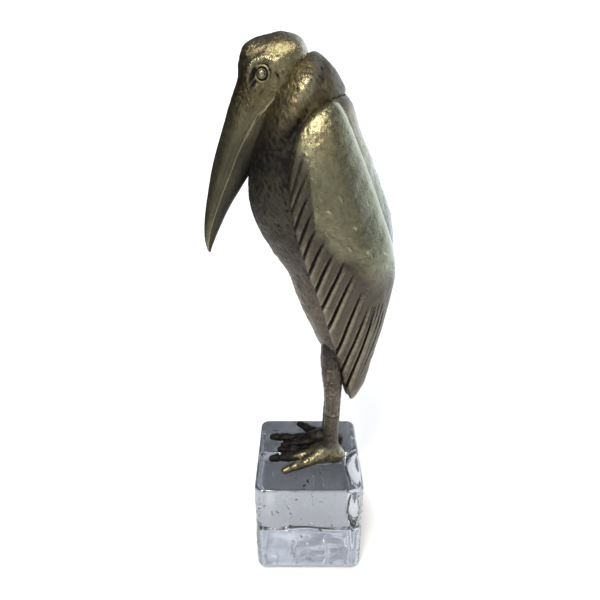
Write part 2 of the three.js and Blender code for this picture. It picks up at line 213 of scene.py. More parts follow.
@dataclass
class Marks:
    """Grooves and ridges drawn on a flat sheet of two coordinates, in millimetres.

    Attributes:
        u: The sheet's first coordinate, evenly spaced.
        v: The sheet's second coordinate, evenly spaced.
    """

    u: Array
    v: Array

    def __post_init__(self) -> None:
        """Starts with a blank sheet."""
        self.lift = np.zeros((len(self.u), len(self.v)), np.float32)
        self.cut = np.zeros_like(self.lift)

    @property
    def height(self) -> Array:
        """How far the surface is raised, less how deep it is cut."""
        return self.lift - self.cut

    def line(self, points: Table, depth: float, width: float, ends: Point = (0.2, 0.2),
             swell: float = 0.0) -> None:
        """Draws one smooth line, a groove where depth is positive and a ridge where it is negative.

        Args:
            points: The points the line passes through.
            depth: Its depth in the middle.
            width: Half its width, where its depth has fallen to about a third.
            ends: The share of its length over which it fades in, and out.
            swell: How much wider and deeper it grows from start to end, as a share.
        """
        path = spline(np.array(points), 4 + 6 * len(points))
        spread = 3 * width * (1 + max(swell, 0))
        iu = slice(*np.searchsorted(self.u, (path[:, 0].min() - spread, path[:, 0].max() + spread)))
        iv = slice(*np.searchsorted(self.v, (path[:, 1].min() - spread, path[:, 1].max() + spread)))
        u, v = self.u[iu], self.v[iv]
        if not len(u) or not len(v):
            return
        grid = np.stack(np.meshgrid(u, v, indexing="ij"), -1)[:, :, None]
        start, step = path[:-1], np.diff(path, axis=0)
        size = (step**2).sum(-1)
        t = np.clip(((grid - start) * step).sum(-1) / size, 0, 1)
        gap = np.sqrt(((grid - start - t[..., None] * step) ** 2).sum(-1))
        near = gap.argmin(-1)
        gap = np.take_along_axis(gap, near[..., None], -1)[..., 0]
        share = (near + np.take_along_axis(t, near[..., None], -1)[..., 0]) / len(step)
        fade = np.minimum(share / max(ends[0], 1e-3), (1 - share) / max(ends[1], 1e-3))
        grown = 1 + swell * share
        mark = abs(depth) * grown * np.clip(fade, 0, 1) * np.exp(-((gap / (width * grown)) ** 2))
        target = self.cut if depth > 0 else self.lift
        target[iu, iv] = np.maximum(target[iu, iv], mark)

    def dome(self, centre: Point, radii: Point, height: float) -> None:
        """Raises a soft dome, or sinks a soft dish where height is negative."""
        u = (self.u[:, None] - centre[0]) / radii[0]
        v = (self.v[None, :] - centre[1]) / radii[1]
        self.lift += (height * np.exp(-(u**2 + v**2))).astype(np.float32)

    def flecks(self, count: int, seed: int, lean: Callable[[float, float], float], length: Point,
               depth: Point, width: float, where: Callable[[float, float], bool]) -> None:
        """Scatters short strokes over the sheet.

        Args:
            count: How many strokes to try.
            seed: The fixed seed of their places.
            lean: The direction of a stroke at a place, in degrees from the first coordinate.
            length: The shortest and the longest stroke.
            depth: The shallowest and the deepest stroke, negative for ridges.
            width: Half a stroke's width.
            where: Says whether a place takes a stroke.
        """
        random = np.random.default_rng(seed)
        draws = random.random((count, 6))
        for a, b, c, d, e, f in draws:
            u = self.u[0] + a * (self.u[-1] - self.u[0])
            v = self.v[0] + b * (self.v[-1] - self.v[0])
            if not where(u, v):
                continue
            angle = math.radians(lean(u, v) + 24 * (c - 0.5))
            half = (length[0] + d * (length[1] - length[0])) / 2
            du, dv = half * math.cos(angle), half * math.sin(angle)
            bow = 0.25 * half * (f - 0.5)
            points = ((u - du, v - dv), (u - bow * math.sin(angle), v + bow * math.cos(angle)),
                      (u + du, v + dv))
            self.line(points, depth[0] + e * (depth[1] - depth[0]), width, (0.35, 0.45))

    def read(self, sheet: Array, u: Array, v: Array) -> Array:
        """The sheet's values at other places, blended between its points."""
        fu = np.clip((u - self.u[0]) / (self.u[1] - self.u[0]), 0, len(self.u) - 1.001)
        fv = np.clip((v - self.v[0]) / (self.v[1] - self.v[0]), 0, len(self.v) - 1.001)
        iu, iv = fu.astype(np.int32), fv.astype(np.int32)
        a, b = (fu - iu).astype(np.float32), (fv - iv).astype(np.float32)
        low = sheet[iu, iv] * (1 - a) + sheet[iu + 1, iv] * a
        high = sheet[iu, iv + 1] * (1 - a) + sheet[iu + 1, iv + 1] * a
        return low * (1 - b) + high * b


def outline_distance(x: Array, z: Array, outline: Array) -> Array:
    """Signed distance to a closed outline on a grid of side-view points.

    Args:
        x: The grid's x coordinates.
        z: The grid's z coordinates.
        outline: The outline's corners, one per row.

    Returns:
        The distance at each grid point, negative inside.
    """
    grid = np.stack(np.meshgrid(x, z, indexing="ij"), -1)
    best = np.full(grid.shape[:2], np.inf)
    inside = np.zeros(grid.shape[:2], bool)
    for a, b in zip(outline, np.roll(outline, -1, axis=0)):
        step = b - a
        t = np.clip(((grid - a) @ step) / max(step @ step, 1e-9), 0, 1)
        best = np.minimum(best, ((grid - a - t[..., None] * step) ** 2).sum(-1))
        crosses = (a[1] > grid[..., 1]) != (b[1] > grid[..., 1])
        if a[1] != b[1]:
            at = a[0] + (grid[..., 1] - a[1]) * step[0] / step[1]
            inside ^= crosses & (grid[..., 0] < at)
    return (np.sqrt(best) * np.where(inside, -1, 1)).astype(np.float32)


# ---- Fields of signed distance ---------------------------------------------------------------------


def joined(a: Array, b: Array, radius: float | Array = 0.01) -> Array:
    """Two forms as one, with a fillet of a given radius where they meet."""
    share = np.clip(0.5 + 0.5 * (b - a) / radius, 0, 1)
    return (b + (a - b) * share - radius * share * (1 - share)).astype(np.float32)


def common(a: Array, b: Array, radius: float = 0.01) -> Array:
    """What two forms have in common, with a rounded edge."""
    return -joined(-a, -b, radius)


def parted(a: Array, b: Array, clearance: float = 0.0) -> Array:
    """A form without another one, which is first grown by a clearance."""
    return np.maximum(a, clearance - b)


def blurred(values: Array, reach: float) -> Array:
    """A field smoothed by three box filters.

    Args:
        values: The field.
        reach: The spread of the filter, in points of the field.

    Returns:
        The smoothed field.
    """
    half = max(1, round(reach))
    for axis in (0, 1, 2) * 3:
        padding = [(0, 0)] * 3
        padding[axis] = (half + 1, half)
        total = np.cumsum(np.pad(values, padding, mode="edge"), axis=axis, dtype=np.float64)
        size = values.shape[axis]
        high = np.take(total, range(2 * half + 1, 2 * half + 1 + size), axis=axis)
        low = np.take(total, range(0, size), axis=axis)
        values = ((high - low) / (2 * half + 1)).astype(np.float32)
    return values


@dataclass(frozen=True)
class Lattice:
    """A box of evenly spaced points, in millimetres.

    Attributes:
        start: The first point, counted in pitches from the origin.
        count: Points along each axis.
        pitch: The spacing.
    """

    start: tuple[int, int, int]
    count: tuple[int, int, int]
    pitch: float

    @classmethod
    def around(cls, node: str, pitch: float, drop: float, margin: float = 2.5) -> "Lattice":
        """The lattice round a node of the frame.

        Args:
            node: The node's name.
            pitch: The spacing.
            drop: The height of the block's top, which is taken off all heights.
            margin: Room on every side.

        Returns:
            The lattice.
        """
        low, high = (np.array(corner) / MM - (0, 0, drop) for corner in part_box(node))
        start = np.floor((low - margin) / pitch).astype(int)
        stop = np.ceil((high + margin) / pitch).astype(int)
        return cls(tuple(start.tolist()), tuple((stop - start + 1).tolist()), pitch)

    def axis(self, k: int) -> Array:
        """The coordinates along one axis."""
        return ((self.start[k] + np.arange(self.count[k])) * self.pitch).astype(np.float32)

    def grid(self) -> tuple[Array, Array, Array]:
        """The coordinates along each axis, shaped to combine over the whole lattice."""
        x, y, z = (self.axis(k) for k in range(3))
        return x[:, None, None], y[None, :, None], z[None, None, :]

    def field(self, shell: Shell, band: float = 9.0) -> Array:
        """Signed distance to a shell, out to a band of that many pitches."""
        level = vdb.FloatGrid.createLevelSetFromPolygons(
            shell.points, triangles=shell.triangles, quads=shell.quads,
            transform=vdb.createLinearTransform(voxelSize=self.pitch), halfWidth=band)
        values = np.empty(self.count, np.float32)
        level.copyToArray(values, ijk=self.start)
        return values

    def noise(self, grain: float, seed: int) -> Array:
        """Smooth random bumps of about one millimetre, as wide as the grain."""
        coarse = max(1, round(grain / self.pitch / 2))
        count = [math.ceil(n / coarse) + 4 for n in self.count]
        values = np.random.default_rng(seed).standard_normal(count).astype(np.float32)
        for axis, size in enumerate(self.count):
            place = np.arange(size) / coarse
            index = place.astype(int)
            share = place - index
            share = share * share * (3 - 2 * share)
            shape = [1, 1, 1]
            shape[axis] = size
            share = share.reshape(shape).astype(np.float32)
            values = np.take(values, index, axis) * (1 - share) + np.take(values, index + 1, axis) * share
        return values / values.std()

    def sample(self, values: Array, points: Array) -> Array:
        """A field's values at points of space, blended between the lattice's points."""
        place = points / self.pitch - np.array(self.start)
        place = np.clip(place, 0, np.array(self.count) - 1.001)
        i = place.astype(int)
        f = place - i
        total = np.zeros(len(points))
        for corner in np.ndindex(2, 2, 2):
            weight = np.prod(np.where(corner, f, 1 - f), axis=1)
            x, y, z = (i + corner).T
            total += weight * values[x, y, z]
        return total

    def surface(self, values: Array) -> tuple[Array, Array]:
        """The points and faces of a field's zero surface, closed and without loose bits."""
        values = values.copy()
        for axis in range(3):
            for edge in (0, -1):
                face = [slice(None)] * 3
                face[axis] = edge
                values[tuple(face)] = self.pitch
        level = vdb.FloatGrid(float(values.max()) + 1.0)
        level.copyFromArray(values, ijk=self.start)
        level.transform = vdb.createLinearTransform(voxelSize=self.pitch)
        points, quads = level.convertToQuads(isovalue=0.0)
        return largest_piece(points.astype(float), quads.astype(np.int64))


def largest_piece(points: Array, quads: Array) -> tuple[Array, Array]:
    """The largest connected piece of a surface.

    Args:
        points: The surface's points.
        quads: Its faces.

    Returns:
        The piece's points and faces.
    """
    pairs = np.concatenate([quads[:, [k, (k + 1) % 4]] for k in range(4)])
    pairs = np.concatenate([pairs, pairs[:, ::-1]])
    pairs = pairs[np.argsort(pairs[:, 0], kind="stable")]
    first = np.searchsorted(pairs[:, 0], np.arange(len(points) + 1))
    label = np.full(len(points), -1)
    sizes = []
    for seed in range(len(points)):
        if label[seed] >= 0:
            continue
        front = np.array([seed])
        label[seed] = len(sizes)
        total = 1
        while len(front):
            lengths = first[front + 1] - first[front]
            offset = np.repeat(first[front] - np.concatenate([[0], np.cumsum(lengths)[:-1]]), lengths)
            found = np.unique(pairs[offset + np.arange(lengths.sum()), 1])
            front = found[label[found] < 0]
            label[front] = len(sizes)
            total += len(front)
        sizes.append(total)
    keep = label == int(np.argmax(sizes))
    number = np.cumsum(keep) - 1
    return points[keep], number[quads[keep[quads[:, 0]]]]


# ---- Meshes ----------------------------------------------------------------------------------------


def mesh_object(name: str, points: Array, faces: Array, tones: dict[str, Array] | None = None
                ) -> bpy.types.Object:
    """A smooth mesh object at the origin.

    Args:
        name: The object's name.
        points: Its points in metres.
        faces: Its faces, all with the same number of corners.
        tones: Values for each point, by attribute name.

    Returns:
        The object, linked to the scene.
    """
    corners = points[faces]
    edge_a, edge_b = corners[:, 1] - corners[:, 0], corners[:, 2] - corners[:, 0]
    volume = np.einsum("ij,ij->", corners[:, 0], np.cross(edge_a, edge_b))
    if faces.shape[1] == 4:
        edge_c = corners[:, 3] - corners[:, 0]
        volume += np.einsum("ij,ij->", corners[:, 0], np.cross(edge_b, edge_c))
    if volume < 0:
        faces = faces[:, ::-1]
    mesh = bpy.data.meshes.new(name)
    mesh.vertices.add(len(points))
    mesh.vertices.foreach_set("co", points.astype(np.float32).ravel())
    mesh.loops.add(faces.size)
    mesh.loops.foreach_set("vertex_index", faces.astype(np.int32).ravel())
    mesh.polygons.add(len(faces))
    mesh.polygons.foreach_set("loop_start", np.arange(0, faces.size, faces.shape[1], dtype=np.int32))
    mesh.update(calc_edges=True)
    mesh.validate()
    mesh.shade_smooth()
    for key, values in (tones or {}).items():
        layer = mesh.attributes.new(key, "FLOAT", "POINT")
        layer.data.foreach_set("value", values.astype(np.float32))
    return link(bpy.data.objects.new(name, mesh))


def link(piece: bpy.types.Object) -> bpy.types.Object:
    """Links an object to the scene and returns it."""
    bpy.context.scene.collection.objects.link(piece)
    return piece


def declare(piece: bpy.types.Object, slot: Slot, nodes: tuple[str, ...] = ()) -> bpy.types.Object:
    """Parents a finished piece to the frame's root, hides the nodes that it replaces, and logs its faces
    and material slot.
    """
    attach(piece, ROOT)
    if nodes:
        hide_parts(*nodes)
    log.info("%s: %d faces, %s", piece.name, len(piece.data.polygons), slot.value)
    return piece


# ---- Node trees ------------------------------------------------------------------------------------


@dataclass
class Wiring:
    """Adds nodes to a node tree, with their settings and inputs in one call.

    Attributes:
        tree: The tree.
    """

    tree: bpy.types.NodeTree

    def add(self, kind: str, inputs: dict[str | int, object] | None = None, **settings: object
            ) -> bpy.types.Node:
        """Adds one node.

        Args:
            kind: The node's type.
            inputs: Values or output sockets for its inputs, by name or number.
            **settings: The node's own settings.

        Returns:
            The node.
        """
        node = self.tree.nodes.new(kind)
        for key, value in settings.items():
            setattr(node, key, value)
        for key, value in (inputs or {}).items():
            if isinstance(value, bpy.types.NodeSocket):
                self.tree.links.new(value, node.inputs[key])
            else:
                node.inputs[key].default_value = value
        return node

    def math(self, operation: str, *values: object) -> bpy.types.NodeSocket:
        """One step of arithmetic, held between 0 and 1 where its name ends in _CLAMP."""
        node = self.add("ShaderNodeMath", dict(enumerate(values)),
                        operation=operation.removesuffix("_CLAMP"))
        node.use_clamp = operation.endswith("_CLAMP")
        return node.outputs[0]

    def mix(self, share: object, low: object, high: object) -> bpy.types.NodeSocket:
        """A blend of two colours."""
        node = self.add("ShaderNodeMix", {0: share, 6: low, 7: high}, data_type="RGBA")
        return node.outputs[2]

    def attribute(self, name: str) -> bpy.types.NodeSocket:
        """What the piece's points carry under a name."""
        return self.add("ShaderNodeAttribute", attribute_name=name).outputs["Fac"]

    def finish(self, inputs: dict[str | int, object]) -> None:
        """Ends a material's tree with its shader and its output."""
        shader = self.add("ShaderNodeBsdfPrincipled", inputs)
        self.add("ShaderNodeOutputMaterial", {"Surface": shader.outputs[0]})


def new_material(name: str) -> tuple[bpy.types.Material, Wiring, bpy.types.NodeSocket]:
    """Starts a material that is all nodes.

    Args:
        name: The material's name.

    Returns:
        The material, its empty tree's wiring and the object's coordinates.
    """
    material = bpy.data.materials.new(name)
    material.use_nodes = True
    wiring = Wiring(material.node_tree)
    material.node_tree.nodes.clear()
    return material, wiring, wiring.add("ShaderNodeTexCoord").outputs["Object"]


def new_group(name: str, inputs: dict[str, str]) -> Wiring:
    """Starts a geometry node group that gives out one geometry.

    Args:
        name: The group's name.
        inputs: The kind of each of its inputs, by the input's name.

    Returns:
        The group's wiring.
    """
    tree = bpy.data.node_groups.new(name, "GeometryNodeTree")
    for key, kind in inputs.items():
        tree.interface.new_socket(key, in_out="INPUT", socket_type="NodeSocket" + kind)
    tree.interface.new_socket("Geometry", in_out="OUTPUT", socket_type="NodeSocketGeometry")
    return Wiring(tree)


def colour(red: float, green: float, blue: float) -> tuple[float, float, float, float]:
    """An opaque colour."""
    return red, green, blue, 1.0


# ---- Finishes --------------------------------------------------------------------------------------


@dataclass(frozen=True)
class AgedBrass:
    """Silvered cast brass with a brown-black patina in the hollows, rubbed bright on the high places, with
    painted shade and painted highlights carried in the same colours.

    Attributes:
        name: The material's name.
        warm: Colour of the head, neck and shoulders, on the wing's shoulder as part of a painted highlight.
        olive: Colour of the wing coverts.
        ashen: Colour of the feathers and legs.
        rubbed: Colour of the places that hands rub bright, and of the painted highlights.
        patina: Colour of the dirt and patina in the hollows, and of the painted shade.
        rough: Roughness of the plain metal.
        grain: Strength of the casting's grain.
    """

    name: str
    warm: Point = (0.150, 0.119, 0.062)
    olive: Point = (0.190, 0.184, 0.122)
    ashen: Point = (0.088, 0.075, 0.062)
    rubbed: Point = (0.62, 0.55, 0.37)
    patina: Point = (0.010, 0.009, 0.012)
    rough: float = 0.25
    grain: float = 1.0

    def make(self) -> bpy.types.Material:
        """Builds the material."""
        material, wiring, place = new_material(self.name)
        # hollow carries the patina and the painted shade; wear_and_highlight carries the rubbed places and
        # the painted highlights.
        hollow = wiring.attribute("hollow")
        wear_and_highlight = wiring.attribute("wear_and_highlight")
        tone = wiring.attribute("tone")
        cloud = self._noise(wiring, place, 55, 4, 0.6)
        mottle = self._noise(wiring, place, 420, 5, 0.65)
        speck = self._noise(wiring, place, 1500, 3, 0.6)
        base = self._base(wiring, tone, cloud, mottle, wear_and_highlight)
        stain = wiring.math("MULTIPLY_ADD", wiring.math("ADD", mottle, speck), 0.8, -0.8)
        stained_and_shaded = wiring.math("ADD_CLAMP", hollow, wiring.math("MULTIPLY", stain, 0.4))
        dark = wiring.math("POWER", stained_and_shaded, 0.8)
        skin = wiring.mix(dark, base, colour(*self.patina))
        rough = self._roughness(wiring, mottle, speck, dark, wear_and_highlight)
        metallic = wiring.math("MULTIPLY_ADD", dark, -0.15, 1.0)
        polish = wiring.attribute("polish")
        bump = self._relief(wiring, place, mottle, speck, wiring.math("SUBTRACT", 1.0, polish))
        wiring.finish({"Base Color": skin, "Metallic": metallic, "Roughness": rough, "Normal": bump})
        return material

    @staticmethod
    def _noise(wiring: Wiring, place: bpy.types.NodeSocket, scale: float, detail: float, rough: float
               ) -> bpy.types.NodeSocket:
        """Noise between about 0 and 1, its scale in waves per metre."""
        node = wiring.add("ShaderNodeTexNoise", {
            "Vector": place, "Scale": scale, "Detail": detail, "Roughness": rough})
        return node.outputs["Fac"]

    def _base(self, wiring: Wiring, tone: object, cloud: object, mottle: object, wear_and_highlight: object
              ) -> bpy.types.NodeSocket:
        """The metal's own colour before any dirt, with the rubbed places and the painted highlights mixed
        in.
        """
        shifted = wiring.math("ADD", tone, wiring.math("MULTIPLY_ADD", cloud, 0.5, -0.25))
        first = wiring.math("MULTIPLY_CLAMP", shifted, 2.0)
        second = wiring.math("MULTIPLY_CLAMP", wiring.math("SUBTRACT", shifted, 0.5), 2.0)
        plain = wiring.mix(second, wiring.mix(first, colour(*self.warm), colour(*self.olive)),
                           colour(*self.ashen))
        shade = wiring.math("MULTIPLY", wiring.math("MULTIPLY_ADD", mottle, 0.9, 0.55),
                            wiring.math("MULTIPLY_ADD", cloud, 0.8, 0.6))
        shaded = wiring.add("ShaderNodeVectorMath", {0: plain, 3: shade}, operation="SCALE").outputs[0]
        rub_and_highlight = wiring.math("MULTIPLY", wear_and_highlight, wiring.math("MULTIPLY_ADD", mottle, 1.2, -0.1))
        return wiring.mix(wiring.math("MULTIPLY_CLAMP", rub_and_highlight, 1.0), shaded, colour(*self.rubbed))

    def _roughness(self, wiring: Wiring, mottle: object, speck: object, dark: object, wear_and_highlight: object
                   ) -> bpy.types.NodeSocket:
        """Roughness: uneven all over, higher in dirt and painted shade, lower where rubbed and painted
        bright.
        """
        uneven = wiring.math("MULTIPLY_ADD", mottle, 0.26, self.rough - 0.13)
        fine = wiring.math("MULTIPLY_ADD", speck, 0.12, uneven)
        dirty = wiring.math("MULTIPLY_ADD", dark, 0.32, fine)
        return wiring.math("MULTIPLY_ADD_CLAMP", wear_and_highlight, -0.07, dirty)

    def _relief(self, wiring: Wiring, place: object, mottle: object, speck: object, share: object
                ) -> bpy.types.NodeSocket:
        """The casting's grain: soft dimples, pitting and the fine strokes of a steel brush.

        Args:
            wiring: The tree.
            place: The object's coordinates.
            mottle: The coarser noise.
            speck: The finer noise.
            share: How much of the grain is left, 1 for all of it.

        Returns:
            The bumpy normal.
        """
        pits = wiring.add("ShaderNodeTexVoronoi", {"Vector": place, "Scale": 700.0, "Randomness": 1.0},
                          feature="F1").outputs["Distance"]
        normal = None
        layers = [(mottle, 0.3, 0.0009), (pits, 0.14, 0.0004), (speck, 0.22, 0.00025)]
        for lean, strength in ((1.22, 0.6), (1.75, 0.4)):
            way = wiring.add("ShaderNodeMapping", {
                "Vector": place, "Rotation": (0.0, lean, 0.0), "Scale": (0.0045, 0.0005, 0.00042)},
                vector_type="TEXTURE").outputs[0]
            stroke = wiring.add("ShaderNodeTexNoise", {
                "Vector": way, "Scale": 1.0, "Detail": 3.0, "Roughness": 0.65})
            layers.append((stroke.outputs["Fac"], strength, 0.0003))
        for height, strength, depth in layers:
            given = {"Height": height, "Distance": depth,
                     "Strength": wiring.math("MULTIPLY", share, strength * self.grain)}
            if normal is not None:
                given["Normal"] = normal
            normal = wiring.add("ShaderNodeBump", given).outputs[0]
        return normal


@dataclass(frozen=True)
class ClearGlass:
    """Cast glass with a faint cool tint and a slightly uneven, fire-polished skin.

    Attributes:
        name: The material's name.
        tint: What colour light takes at each surface.
        index: Its refractive index, under 1 for a bubble seen from inside the glass.
    """

    name: str
    tint: Point = (0.52, 0.54, 0.59)
    index: float = 1.5

    def make(self) -> bpy.types.Material:
        """Builds the material."""
        material, wiring, place = new_material(self.name)
        wave = wiring.add("ShaderNodeTexNoise", {"Vector": place, "Scale": 60.0, "Detail": 2.0})
        smear = wiring.add("ShaderNodeTexNoise", {"Vector": place, "Scale": 240.0, "Detail": 4.0})
        rough = wiring.math("MULTIPLY_ADD_CLAMP", smear.outputs["Fac"], 0.03, -0.012)
        bump = wiring.add("ShaderNodeBump", {
            "Height": wave.outputs["Fac"], "Strength": 0.2, "Distance": 0.001})
        wiring.finish({
            "Base Color": colour(*self.tint), "Roughness": rough, "IOR": self.index,
            "Transmission Weight": 1.0, "Normal": bump.outputs[0]})
        return material


@dataclass(frozen=True)
class ClearGlue:
    """Clear set glue, faintly yellowed, with small bubbles and an uneven glossy skin.

    Attributes:
        name: The material's name.
        tint: Its colour.
        yellowed: Its colour where it is thick.
    """

    name: str = "clear_glue"
    tint: Point = (0.86, 0.87, 0.84)
    yellowed: Point = (0.72, 0.68, 0.54)

    def make(self) -> bpy.types.Material:
        """Builds the material."""
        material, wiring, place = new_material(self.name)
        cloud = wiring.add("ShaderNodeTexNoise", {"Vector": place, "Scale": 350.0, "Detail": 3.0})
        bubbles = wiring.add("ShaderNodeTexVoronoi", {"Vector": place, "Scale": 900.0, "Randomness": 1.0})
        tint = wiring.mix(cloud.outputs["Fac"], colour(*self.tint), colour(*self.yellowed))
        rough = wiring.math("MULTIPLY_ADD", cloud.outputs["Fac"], 0.2, 0.02)
        bump = wiring.add("ShaderNodeBump", {
            "Height": bubbles.outputs["Distance"], "Strength": 0.3, "Distance": 0.0002})
        wiring.finish({
            "Base Color": tint, "Roughness": rough, "IOR": 1.5, "Transmission Weight": 1.0,
            "Normal": bump.outputs[0]})
        return material


@dataclass(frozen=True)
class TurnedSteel:
    """Plain turned steel with fine rings round the pin.

    Attributes:
        name: The material's name.
        tint: Its colour.
    """

    name: str = "turned_steel"
    tint: Point = (0.46, 0.46, 0.47)

    def make(self) -> bpy.types.Material:
        """Builds the material."""
        material, wiring, place = new_material(self.name)
        rings = wiring.add("ShaderNodeTexWave", {
            "Vector": place, "Scale": 900.0, "Distortion": 2.0, "Detail": 2.0}, bands_direction="Z")
        blotch = wiring.add("ShaderNodeTexNoise", {"Vector": place, "Scale": 300.0, "Detail": 4.0})
        rough = wiring.math("MULTIPLY_ADD", blotch.outputs["Fac"], 0.3, 0.2)
        tint = wiring.mix(blotch.outputs["Fac"], colour(*(0.7 * c for c in self.tint)), colour(*self.tint))
        bump = wiring.add("ShaderNodeBump", {
            "Height": rings.outputs["Fac"], "Strength": 0.2, "Distance": 0.0001})
        wiring.finish({
            "Base Color": tint, "Metallic": 1.0, "Roughness": rough, "Normal": bump.outputs[0]})
        return material


@dataclass(frozen=True)
class Paper:
    """Plain matt studio paper.

    Attributes:
        name: The material's name.
        tint: Its colour.
    """

    name: str = "studio_paper"
    tint: Point = (0.80, 0.80, 0.80)

    def make(self) -> bpy.types.Material:
        """Builds the material."""
        material = bpy.data.materials.new(self.name)
        material.use_nodes = True
        shader = material.node_tree.nodes["Principled BSDF"]
        shader.inputs["Base Color"].default_value = colour(*self.tint)
        shader.inputs["Roughness"].default_value = 0.9
        return material


# ---- The castings ----------------------------------------------------------------------------------


@dataclass
class Casting:
    """What all the castings share: their lattice, their surface finish and how they become pieces.

    Attributes:
        drop: Height of the block's top, which the pieces stand on.
        metal: The casting's material.
        pitch: Spacing of the field that the casting is modelled in.
        soot: How much dirt the hollows hold.
        fine: How far the narrow hollows and ridges are felt, in millimetres.
        broad: How far the wide ones are felt.
    """

    drop: float
    metal: bpy.types.Material
    pitch: float = 0.42
    soot: float = 1.0
    fine: float = 0.55
    broad: float = 1.6

    def piece(self, name: str, node: str, lattice: Lattice, values: Array, slot: Slot,
              tones: Callable[[Array], dict[str, Array]], flip: bool = False) -> bpy.types.Object:
        """Meshes a field and dresses it.

        Args:
            name: The piece's name.
            node: The node of the frame that it stands for.
            lattice: The lattice of the field.
            values: The field.
            slot: The material slot, which is logged.
            tones: Gives the extra dirt and painted shade, the rub and painted highlights, and the tone at
                the surface's points.
            flip: Whether to turn the piece into its mirror image across the middle plane.

        Returns:
            The finished piece.
        """
        points, quads = lattice.surface(values)
        given = tones(points)
        near = lattice.sample(blurred(values, self.fine / lattice.pitch), points)
        wide = lattice.sample(blurred(values, self.broad / lattice.pitch), points)
        hollow = np.clip(-near * 5.5 - 0.15, 0, 1) + np.clip(-wide * 1.6 - 0.1, 0, 0.6)
        wear_and_highlight = np.clip(near * 5.0 - 0.25, 0, 1) * 0.7 + np.clip(wide * 0.55 - 0.2, 0, 0.5)
        # Each piece's dirt and painted shade joins the patina of the hollows; its rub and painted
        # highlights join the wear of the edges.
        hollow = np.clip(hollow * self.soot + given["dirt_and_shade"], 0, 1)
        wear_and_highlight = np.clip(wear_and_highlight * (1 - hollow) + given.get("rub_and_highlight", 0.0), 0, 1)
        if flip:
            points = points * (1, -1, 1)
        place = (points + (0, 0, self.drop)) * MM
        made = mesh_object(name, place, quads, {
            "hollow": hollow, "wear_and_highlight": wear_and_highlight, "tone": np.broadcast_to(given["tone"], hollow.shape),
            "polish": np.broadcast_to(given.get("polish", 0.0), hollow.shape)})
        made.data.materials.append(self.metal)
        return declare(made, slot, (node,))


